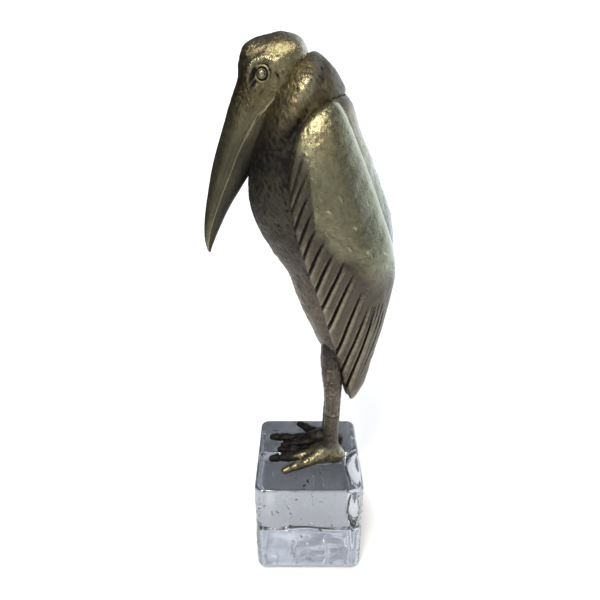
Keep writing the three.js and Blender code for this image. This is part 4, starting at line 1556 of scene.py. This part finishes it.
@dataclass
class Eye:
    """An eye: a turned bead with a raised iris and a drilled pupil, on a shank in the head.

    Attributes:
        drop: Height of the block's top.
        metal: Its material.
        place: Its centre: x, distance out from the middle plane, and height.
        profile: Rows of radius and distance outward, from the pupil's middle to the shank's end.
    """

    drop: float
    metal: bpy.types.Material
    place: Point = (-20.9, 11.9, 205.9)
    profile: Table = (
        (0.0, 1.35), (0.4, 1.33), (0.8, 1.25), (1.1, 1.12), (1.28, 0.98), (1.38, 0.86), (1.5, 0.88),
        (1.62, 1.02), (1.76, 1.04), (1.95, 0.85), (2.1, 0.45), (2.12, 0.0), (1.9, -0.8), (1.1, -1.1),
        (1.1, -4.4), (0.9, -4.6), (0.0, -4.6),
    )

    def build(self) -> None:
        """Makes both eyes."""
        rows = np.array(self.profile)
        smooth = np.concatenate([spline(rows[:12], 44), rows[12:]])
        sides = 40
        angle = np.linspace(0, 2 * np.pi, sides, endpoint=False)
        for side in Side:
            ring = np.empty((len(smooth), sides, 3))
            radius = np.maximum(smooth[:, 0], 0.01)[:, None]
            ring[:, :, 0] = self.place[0] + radius * np.cos(angle)
            ring[:, :, 1] = side.value * (self.place[1] + smooth[:, 1])[:, None]
            ring[:, :, 2] = self.place[2] + self.drop + radius * np.sin(angle)
            shell = Shell(ring)
            out = np.concatenate([np.repeat(smooth[:, 1], sides), smooth[[0, -1], 1]])
            wide = np.concatenate([np.repeat(smooth[:, 0], sides), smooth[[0, -1], 0]])
            dirt_and_shade = np.exp(-(((wide - 1.4) / 0.16) ** 2)) * 0.8 + np.clip(0.6 - out, 0, 1)
            piece = closed_object(f"{side.label}_eye_bead", shell, {
                "hollow": dirt_and_shade, "wear_and_highlight": np.clip((out - 0.7) * 1.5, 0, 0.6), "tone": np.full(len(out), 0.7)})
            piece.data.materials.append(self.metal)
            declare(piece, Slot.BRIGHT, (f"{side.label}_eye",))


def closed_object(name: str, shell: Shell, tones: dict[str, Array]) -> bpy.types.Object:
    """A mesh object from a shell in millimetres, with its end caps, facing outwards."""
    mesh = bpy.data.meshes.new(name)
    faces = [*shell.quads.tolist(), *shell.triangles.tolist()]
    mesh.from_pydata((shell.points * MM).tolist(), [], faces)
    for key, values in tones.items():
        layer = mesh.attributes.new(key, "FLOAT", "POINT")
        layer.data.foreach_set("value", np.asarray(values, np.float32))
    sheet = bmesh.new()
    sheet.from_mesh(mesh)
    bmesh.ops.remove_doubles(sheet, verts=sheet.verts, dist=1e-6)
    bmesh.ops.recalc_face_normals(sheet, faces=sheet.faces)
    sheet.to_mesh(mesh)
    sheet.free()
    mesh.shade_smooth()
    return link(bpy.data.objects.new(name, mesh))


# ---- The glass block -------------------------------------------------------------------------------


@dataclass
class GlassBlock:
    """The clear glass block, with the round dish ground into its right face.

    Attributes:
        glass: Its material.
        corner: Radius of its upright edges.
        top_edge: Radius of its upper edges.
        bottom_edge: Radius of its lower edges.
        dish: Radius of the grinding wheel, depth of the dish, and its centre in y and z.
        wave: Height of the waves that the mould leaves in the sides.
        crease: Depth of the upright creases where the glass folded in its mould.
        chip: Depth of the small chips along the upright edges.
    """

    glass: bpy.types.Material
    corner: float = 5.0
    top_edge: float = 1.7
    bottom_edge: float = 4.5
    dish: Point = (27.0, 8.5, 1.0, 31.0)
    wave: float = 0.09
    crease: float = 0.42
    chip: float = 0.5

    def outline(self, inset: float) -> tuple[Array, Array]:
        """One level of the block.

        Args:
            inset: How far its outline is drawn in.

        Returns:
            The outline's points and the directions that face out from them.
        """
        half_x, half_y = self.half
        along, arc = 76, 14
        radius = self.corner
        points, outward = [], []
        turn = ((1, 1, 0), (-1, 1, 90), (-1, -1, 180), (1, -1, 270))
        for number, (sx, sy, start) in enumerate(turn):
            centre = np.array([sx * (half_x - radius), sy * (half_y - radius)])
            for angle in np.radians(start + np.linspace(0, 90, arc)):
                way = np.array([math.cos(angle), math.sin(angle)])
                points.append(centre + way * (radius - inset))
                outward.append(way)
            nx, ny, _ = turn[(number + 1) % 4]
            after = np.array([nx * (half_x - radius), ny * (half_y - radius)])
            way = np.array([math.cos(math.radians(start + 90)), math.sin(math.radians(start + 90))])
            for share in np.linspace(0, 1, along + 1)[1:-1]:
                points.append(centre + (after - centre) * share + way * (radius - inset))
                outward.append(way)
        return np.array(points), np.array(outward)

    def levels(self) -> list[Point]:
        """Height and inset of each level, from the underside to the top."""
        rows = []
        for k in range(9):
            a = math.pi / 2 * k / 8
            rows.append((self.bottom_edge * (1 - math.cos(a)), self.bottom_edge * (1 - math.sin(a))))
        side = np.linspace(self.bottom_edge, self.height - self.top_edge, 84)[1:-1]
        rows += [(z, 0.0) for z in side]
        for k in range(7):
            a = math.pi / 2 * k / 6
            rows.append((self.height - self.top_edge * (1 - math.sin(a)),
                         self.top_edge * (1 - math.cos(a))))
        return rows

    def ripple(self, x: Array, y: Array, z: float) -> Array:
        """How far the sides stand out at one level: slow waves, creases and chipped edges."""
        first = np.sin(0.21 * x + 0.13 * z + 0.6) * np.cos(0.17 * y - 0.19 * z)
        second = np.sin(0.11 * z - 0.23 * y + 1.7) * np.cos(0.09 * x + 0.31 * z)
        shift = self.wave * (first + 0.7 * second)
        wander = 1.1 * math.sin(0.33 * z) + 0.5 * math.sin(0.9 * z + 1)
        for across, front, middle, reach in ((-10.5, -1, 45, 9), (-8.5, -1, 14, 8), (12, 1, 30, 16)):
            near = np.exp(-(((x - across - wander) / 0.75) ** 2)) * (y * front > 20)
            shift = shift - self.crease * near * math.exp(-(((z - middle) / reach) ** 2))
        edge = np.exp(-(((np.abs(x) - 29) / 2.2) ** 2)) * np.clip((np.abs(y) - 24) / 4, 0, 1)
        rows = np.random.default_rng(17).uniform(-1, 1, 160) ** 5
        spot = z / 0.9 + 70 * (x > 0) + 23 * (y > 0) + 0.35 * x
        return shift - self.chip * edge * np.interp(spot, np.arange(160), rows)

    def build(self) -> None:
        """Makes the block."""
        low, high = (np.array(corner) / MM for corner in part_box("glass_block"))
        self.half = (high - low)[:2] / 2
        self.height = float(high[2])
        rings = []
        for z, inset in self.levels():
            points, outward = self.outline(inset)
            calm = np.clip(min(z, self.height - z) / 8, 0, 1)
            shift = self.ripple(points[:, 0], points[:, 1], float(z)) * calm
            place = points + outward * shift[:, None]
            radius, deep, y0, z0 = self.dish
            centre = self.half[0] + radius - deep
            reach = radius**2 - (place[:, 1] - y0) ** 2 - (z - z0) ** 2
            hollow = centre - np.sqrt(np.maximum(reach, 0))
            right = (outward[:, 0] > 0.99) & (reach > 0)
            place[:, 0] = np.where(right, np.minimum(place[:, 0], hollow), place[:, 0])
            rings.append(np.column_stack([place, np.full(len(place), z)]))
        caps = [np.column_stack([rings[0][:, :2] * s, rings[0][:, 2]]) for s in (0.25, 0.5, 0.75)]
        tops = [np.column_stack([rings[-1][:, :2] * s, rings[-1][:, 2]]) for s in (0.75, 0.5, 0.25)]
        shell = Shell(np.array([*caps, *rings, *tops]))
        block = closed_object("glass_body", shell, {})
        block.data.materials.append(self.glass)
        declare(block, Slot.GLASS, ("glass_block",))


@dataclass
class Flaws:
    """Seeds and small fracture flakes inside the glass, scattered by a node tree.

    Attributes:
        air: The material of a bubble's surface, seen from inside the glass.
        seeds: How many round seeds there are.
        flakes: How many flat flakes there are.
        seed: The fixed seed of their places.
        threads: Drawn-out bubbles: middle x and y, middle height, length and half width.
        margin: How much narrower than the glass the room for seeds and flakes is, in metres.
    """

    air: bpy.types.Material
    seeds: int = 60
    flakes: int = 34
    seed: int = 9
    threads: Table = (
        (-10.6, -28.8, 46.0, 20.0, 0.8),
        (-12.3, -28.2, 49.0, 12.0, 0.4),
        (-9.0, -29.0, 14.0, 16.0, 0.8),
        (-7.6, -27.5, 9.0, 9.0, 0.4),
        (-0.5, -26.5, 6.4, 3.4, 1.3),
        (-27.0, -27.0, 44.0, 16.0, 0.7),
        (-24.5, -27.5, 8.0, 9.0, 0.6),
        (22.0, -27.0, 6.0, 7.0, 0.6),
        (8.5, -24.0, 13.0, 11.0, 0.26),
        (17.0, 26.0, 34.0, 22.0, 0.34),
        (-20.0, 22.0, 22.0, 16.0, 0.3),
    )
    margin: float = 0.014

    def tree(self) -> bpy.types.NodeTree:
        """The node tree: points through a box, a small closed form on each, turned and sized at random."""
        wiring = new_group("glass_flaws", {
            "Count": "Int", "Room": "Vector", "Middle": "Vector", "Smallest": "Vector",
            "Largest": "Vector", "Seed": "Int", "Material": "Material"})
        given = wiring.add("NodeGroupInput").outputs
        half = wiring.add("ShaderNodeVectorMath", {0: given["Room"], 3: 0.5}, operation="SCALE").outputs[0]
        lowest = wiring.add("ShaderNodeVectorMath", {0: half, 3: -1.0}, operation="SCALE").outputs[0]
        spot = wiring.add("FunctionNodeRandomValue", {
            "Min": lowest, "Max": half, "Seed": given["Seed"]}, data_type="FLOAT_VECTOR")
        place = wiring.add("ShaderNodeVectorMath", {0: spot.outputs[0], 1: given["Middle"]},
                           operation="ADD").outputs[0]
        points = wiring.add("GeometryNodePoints", {"Count": given["Count"], "Position": place})
        ball = wiring.add("GeometryNodeMeshIcoSphere", {"Radius": 1.0, "Subdivisions": 3})
        turn = wiring.add("FunctionNodeRandomValue", {
            0: (0.0, 0.0, 0.0), 1: (math.tau, math.tau, math.tau),
            "Seed": wiring.add("FunctionNodeIntegerMath", {0: given["Seed"], 1: 1}).outputs[0]},
            data_type="FLOAT_VECTOR")
        size = wiring.add("FunctionNodeRandomValue", {
            0: given["Smallest"], 1: given["Largest"],
            "Seed": wiring.add("FunctionNodeIntegerMath", {0: given["Seed"], 1: 2}).outputs[0]},
            data_type="FLOAT_VECTOR")
        spread = wiring.add("GeometryNodeInstanceOnPoints", {
            "Points": points.outputs[0], "Instance": ball.outputs[0],
            "Rotation": turn.outputs[0], "Scale": size.outputs[0]})
        real = wiring.add("GeometryNodeRealizeInstances", {0: spread.outputs[0]})
        smooth = wiring.add("GeometryNodeSetShadeSmooth", {0: real.outputs[0]})
        dressed = wiring.add("GeometryNodeSetMaterial", {
            "Geometry": smooth.outputs[0], "Material": given["Material"]})
        wiring.add("NodeGroupOutput", {0: dressed.outputs[0]})
        return wiring.tree

    def build(self) -> None:
        """Makes the seeds and the flakes, each as one piece."""
        low, high = (np.array(corner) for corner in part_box("glass_block"))
        room, middle = high - low, (high + low) / 2
        tree = self.tree()
        small, large = (0.00012,) * 3, (0.00042,) * 3
        thin, broad = (0.0005, 0.0003, 0.00002), (0.0022, 0.0014, 0.00005)
        inner = tuple((room - self.margin).tolist())
        for name, count, least, most, seed in (("glass_seeds", self.seeds, small, large, self.seed),
                                               ("glass_flakes", self.flakes, thin, broad, self.seed + 20)):
            piece = grown(name, tree, {
                "Count": count, "Room": inner, "Middle": tuple(middle.tolist()), "Smallest": least,
                "Largest": most, "Seed": seed, "Material": self.air})
            declare(piece, Slot.GLASS)
        for number, thread in enumerate(self.threads):
            piece = closed_object(f"glass_thread_{number + 1}", self.thread(*thread), {})
            piece.data.materials.append(self.air)
            declare(piece, Slot.GLASS)

    @staticmethod
    def thread(x: float, y: float, middle: float, length: float, half: float) -> Shell:
        """One drawn-out bubble, wandering upwards."""
        slices = []
        for share in np.linspace(0, 1, 13):
            z = middle + (share - 0.5) * length
            swing = 0.7 * math.sin(0.45 * z + x) + 0.3 * math.sin(1.3 * z)
            width = half * (0.15 + math.sin(math.pi * share) * (0.8 + 0.3 * math.sin(2.1 * z)))
            slices.append((z, x + swing - width, x + swing + width, 0.45 * width))
        rows = spline(np.array(slices), 60)
        angle = np.linspace(0, 2 * np.pi, 16, endpoint=False)
        ring = np.empty((len(rows), len(angle), 3))
        centre, span = rows[:, 1:3].mean(1), rows[:, 2] - rows[:, 1]
        ring[:, :, 0] = centre[:, None] + span[:, None] / 2 * np.cos(angle)
        ring[:, :, 1] = y + rows[:, 3:4] * np.sin(angle)
        ring[:, :, 2] = rows[:, :1]
        return Shell(ring)


def grown(name: str, tree: bpy.types.NodeTree, given: dict[str, object]) -> bpy.types.Object:
    """Runs a geometry node tree and keeps its result as a plain mesh.

    Args:
        name: The new object's name.
        tree: The tree.
        given: Values for the tree's inputs, by name.

    Returns:
        The object, with no modifier left on it.
    """
    holder = link(bpy.data.objects.new(name, bpy.data.meshes.new(name + "_empty")))
    modifier = holder.modifiers.new("tree", "NODES")
    modifier.node_group = tree
    sockets = {item.name: item.identifier for item in tree.interface.items_tree
               if item.in_out == "INPUT"}
    for key, value in given.items():
        modifier[sockets[key]] = value
    ready = holder.evaluated_get(bpy.context.evaluated_depsgraph_get())
    mesh = bpy.data.meshes.new_from_object(ready)
    holder.modifiers.clear()
    holder.data = mesh
    mesh.name = name
    return holder


# ---- Pins and glue ---------------------------------------------------------------------------------


@dataclass
class Pins:
    """The turned pins inside the bird: each a rod with chamfered ends, swept by a node tree.

    Attributes:
        steel: Their material.
        nodes: The frame's objects by name.
        chamfer: Size of the chamfer at each end.
    """

    steel: bpy.types.Material
    nodes: dict[str, bpy.types.Object]
    chamfer: float = 0.4

    def tree(self) -> bpy.types.NodeTree:
        """The node tree: a line from end to end, swept with a circle that narrows at the chamfers."""
        wiring = new_group("turned_pin", {
            "Start": "Vector", "End": "Vector", "Radius": "Float", "Chamfer": "Float",
            "Material": "Material"})
        given = wiring.add("NodeGroupInput").outputs
        line = wiring.add("GeometryNodeCurvePrimitiveLine", {
            "Start": given["Start"], "End": given["End"]})
        fine = wiring.add("GeometryNodeResampleCurve", {"Curve": line.outputs[0], "Count": 64})
        travel = wiring.add("GeometryNodeSplineParameter").outputs["Length"]
        whole = wiring.add("GeometryNodeSplineLength").outputs["Length"]
        rest = wiring.math("SUBTRACT", whole, travel)
        nearest = wiring.math("MINIMUM", travel, rest)
        narrowed = wiring.math("SUBTRACT", given["Chamfer"], nearest)
        taken = wiring.math("MAXIMUM", narrowed, 0.0)
        radius = wiring.math("SUBTRACT", given["Radius"], taken)
        shaped = wiring.add("GeometryNodeSetCurveRadius", {"Curve": fine.outputs[0], "Radius": radius})
        circle = wiring.add("GeometryNodeCurvePrimitiveCircle", {"Resolution": 32, "Radius": 1.0})
        swept = wiring.add("GeometryNodeCurveToMesh", {
            "Curve": shaped.outputs[0], "Profile Curve": circle.outputs[0], "Scale": radius,
            "Fill Caps": True})
        real = wiring.add("GeometryNodeRealizeInstances", {0: swept.outputs[0]})
        dressed = wiring.add("GeometryNodeSetMaterial", {
            "Geometry": real.outputs[0], "Material": given["Material"]})
        wiring.add("NodeGroupOutput", {0: dressed.outputs[0]})
        return wiring.tree

    def build(self) -> None:
        """Makes every pin where the frame has it."""
        tree = self.tree()
        for node in sorted(name for name in self.nodes if name.endswith("_pin")):
            start, end, radius = self.ends(self.nodes[node].data)
            piece = grown(node + "_turned", tree, {
                "Start": start, "End": end, "Radius": radius, "Chamfer": self.chamfer * MM,
                "Material": self.steel})
            declare(piece, Slot.STEEL, (node,))

    @staticmethod
    def ends(source: bpy.types.Mesh) -> tuple[Point, Point, float]:
        """The ends of a pin's axis and its radius, from its node's mesh."""
        points = np.empty(len(source.vertices) * 3)
        source.vertices.foreach_get("co", points)
        points = np.unique(points.reshape(-1, 3).round(6), axis=0)
        centre = points.mean(0)
        _, _, ways = np.linalg.svd(points - centre)
        along = (points - centre) @ ways[0]
        radius = float(np.linalg.norm(points - centre - np.outer(along, ways[0]), axis=1).max())
        start, end = centre + ways[0] * along.min(), centre + ways[0] * along.max()
        return tuple(start.tolist()), tuple(end.tolist()), radius


@dataclass
class Glue:
    """The film of clear glue under each foot, which keeps the frame's own mesh.

    Attributes:
        clear: Its material.
        nodes: The frame's objects by name.
    """

    clear: bpy.types.Material
    nodes: dict[str, bpy.types.Object]

    def build(self) -> None:
        """Gives both films their material."""
        for side in Side:
            film = self.nodes[f"{side.label}_foot_bond"]
            if not film.material_slots:
                film.data.materials.append(self.clear)
            for slot in film.material_slots:
                slot.material = self.clear
            log.info("%s dressed", film.name)


# ---- The studio ------------------------------------------------------------------------------------


@dataclass(frozen=True)
class Glow:
    """A soft bright place in the surroundings.

    Attributes:
        way: The direction of its middle.
        start: Where it starts, as the cosine of the angle from its middle.
        full: Where it is at its full brightness, as a cosine.
        tint: Its colour and brightness.
    """

    way: Point
    start: float
    full: float
    tint: Point

    def share(self, wiring: Wiring, way: bpy.types.NodeSocket) -> bpy.types.NodeSocket:
        """How much of the glow a direction sees."""
        toward = wiring.add("ShaderNodeVectorMath", {0: way, 1: self.way}, operation="DOT_PRODUCT")
        ramp = wiring.add("ShaderNodeMapRange", {
            "Value": toward.outputs["Value"], "From Min": self.start, "From Max": self.full},
            interpolation_type="SMOOTHSTEP")
        return ramp.outputs[0]


@dataclass
class Studio:
    """Pale paper, soft lights and the camera.

    Attributes:
        eye: The camera's place in millimetres.
        pitch: How far it looks down, in degrees.
        lens: Its focal length on a sensor 36 mm wide.
        white: What is seen directly and what lights matt surfaces.
        dim: What metal mirrors away from the glows.
        walls: The darker parts of the room that is seen through the glass.
        window: The brighter parts of that room.
        floor_radius: Radius of the paper, in metres.
        floor_corners: How many corners its edge has.
        floor_gap: How far it lies under the block, in metres.
        glows: The soft bright places that metal mirrors.
    """

    eye: Point = (-5.0, -240.1, 258.6)
    pitch: float = 22.63
    lens: float = 29.86
    white: Point = (1.25, 1.26, 1.28)
    dim: Point = (0.03, 0.03, 0.033)
    walls: Point = (0.30, 0.31, 0.36)
    window: Point = (1.25, 1.32, 1.38)
    floor_radius: float = 0.48
    floor_corners: int = 96
    floor_gap: float = 0.00005
    glows: tuple[Glow, ...] = (
        Glow((0.0, 0.0, 1.0), 0.30, 1.0, (0.22, 0.23, 0.25)),
        Glow((0.20, -0.97, 0.0), 0.62, 0.97, (0.72, 0.72, 0.66)),
        Glow((0.80, 0.60, 0.05), 0.44, 0.92, (2.1, 2.4, 2.8)),
    )

    def camera(self) -> None:
        """Makes the camera."""
        data = bpy.data.cameras.new("camera")
        data.lens = self.lens
        data.sensor_width = 36.0
        data.clip_start = 0.01
        data.dof.use_dof = False
        piece = link(bpy.data.objects.new("camera", data))
        piece.location = [c * MM for c in self.eye]
        piece.rotation_euler = (math.radians(90 - self.pitch), 0, 0)
        bpy.context.scene.camera = piece

    def floor(self) -> None:
        """Lays the paper."""
        count = self.floor_corners
        angle = np.linspace(0, 2 * np.pi, count + 1)[:-1]
        along, across = self.floor_radius * np.cos(angle), self.floor_radius * np.sin(angle)
        ring = np.column_stack([along, across, 0 * angle])
        points = np.concatenate([ring, [(0.0, 0.0, 0.0)]]) - (0, 0, self.floor_gap)
        here = np.arange(count)
        faces = np.stack([here, (here + 1) % count, 0 * here + count], 1)
        paper = mesh_object("studio_floor", points, faces)
        paper.data.materials.append(Paper().make())

    def lamp(self, name: str, place: Point, aim: Point, size: tuple[float, float], power: float,
             tint: Point) -> None:
        """Makes one soft box.

        Args:
            name: The lamp's name.
            place: Where it hangs, in metres.
            aim: What it points at, in metres.
            size: Its width and height, in metres.
            power: Its power in watts.
            tint: Its colour.
        """
        data = bpy.data.lights.new(name, "AREA")
        data.shape = "RECTANGLE"
        data.size, data.size_y = size
        data.energy = power
        data.color = tint
        piece = link(bpy.data.objects.new(name, data))
        piece.location = place
        way = Vector(aim) - Vector(place)
        piece.rotation_euler = way.to_track_quat("-Z", "Y").to_euler()

    def world(self) -> None:
        """Makes the surroundings: white to look at, and a soft room with a window in reflections."""
        world = bpy.data.worlds.new("studio")
        world.use_nodes = True
        wiring = Wiring(world.node_tree)
        world.node_tree.nodes.clear()
        way = wiring.add("ShaderNodeTexCoord").outputs["Generated"]
        mirrored = colour(*self.dim)
        for glow in self.glows:
            mirrored = wiring.mix(glow.share(wiring, way), mirrored, colour(*glow.tint))
        room = wiring.add("ShaderNodeTexNoise", {"Vector": way, "Scale": 3.2, "Detail": 3.0})
        patch = wiring.add("ShaderNodeMapRange", {
            "Value": room.outputs["Fac"], "From Min": 0.42, "From Max": 0.62})
        rise = wiring.add("ShaderNodeSeparateXYZ", {0: way}).outputs["Z"]
        upward = wiring.add("ShaderNodeMapRange", {"Value": rise, "From Min": 0.1, "From Max": 0.6})
        walls = wiring.mix(patch.outputs[0], colour(*self.walls), colour(*self.window))
        through = wiring.mix(upward.outputs[0], colour(*self.walls), walls)
        path = wiring.add("ShaderNodeLightPath").outputs
        straight = wiring.math("SUBTRACT", 1.0, wiring.math("MINIMUM", path["Diffuse Depth"], 1.0))
        glossy = wiring.mix(path["Is Glossy Ray"], colour(*self.white), mirrored)
        refracted = wiring.math("MULTIPLY", path["Is Transmission Ray"], straight)
        seen = wiring.mix(refracted, glossy, through)
        light = wiring.add("ShaderNodeBackground", {"Color": seen, "Strength": 1.0})
        wiring.add("ShaderNodeOutputWorld", {"Surface": light.outputs[0]})
        bpy.context.scene.world = world

    def build(self) -> None:
        """Makes the floor, the lights, the world and the camera."""
        self.camera()
        self.floor()
        self.world()
        bpy.context.scene.view_settings.view_transform = "Standard"
        target = (0.0, 0.0, 0.2)
        self.lamp("key", (-0.18, -0.62, 1.0), target, (0.24, 0.16), 9.0, (1.0, 0.94, 0.78))
        self.lamp("side", (-0.5, -0.75, 0.45), target, (0.10, 0.4), 1.2, (0.94, 1.0, 0.92))


def main() -> None:
    """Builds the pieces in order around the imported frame."""
    logging.basicConfig(level=logging.INFO, format="%(name)s %(message)s")
    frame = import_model()
    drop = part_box("glass_block")[1][2] / MM
    casting = AgedBrass("antique_casting").make()
    smooth = AgedBrass("bright_casting", rough=0.26, grain=0.6).make()
    Studio().build()
    GlassBlock(ClearGlass("clear_block").make()).build()
    Flaws(ClearGlass("air_in_glass", (1.0, 1.0, 1.0), 0.667).make()).build()
    HeadCasting(drop, casting).build()
    BodyCasting(drop, casting).build()
    Wing(drop, casting).build()
    Leg(drop, casting).build()
    Foot(drop, casting).build()
    Eye(drop, smooth).build()
    Pins(TurnedSteel().make(), frame["nodes"]).build()
    Glue(ClearGlue().make(), frame["nodes"]).build()


if __name__ == "__main__":
    main()
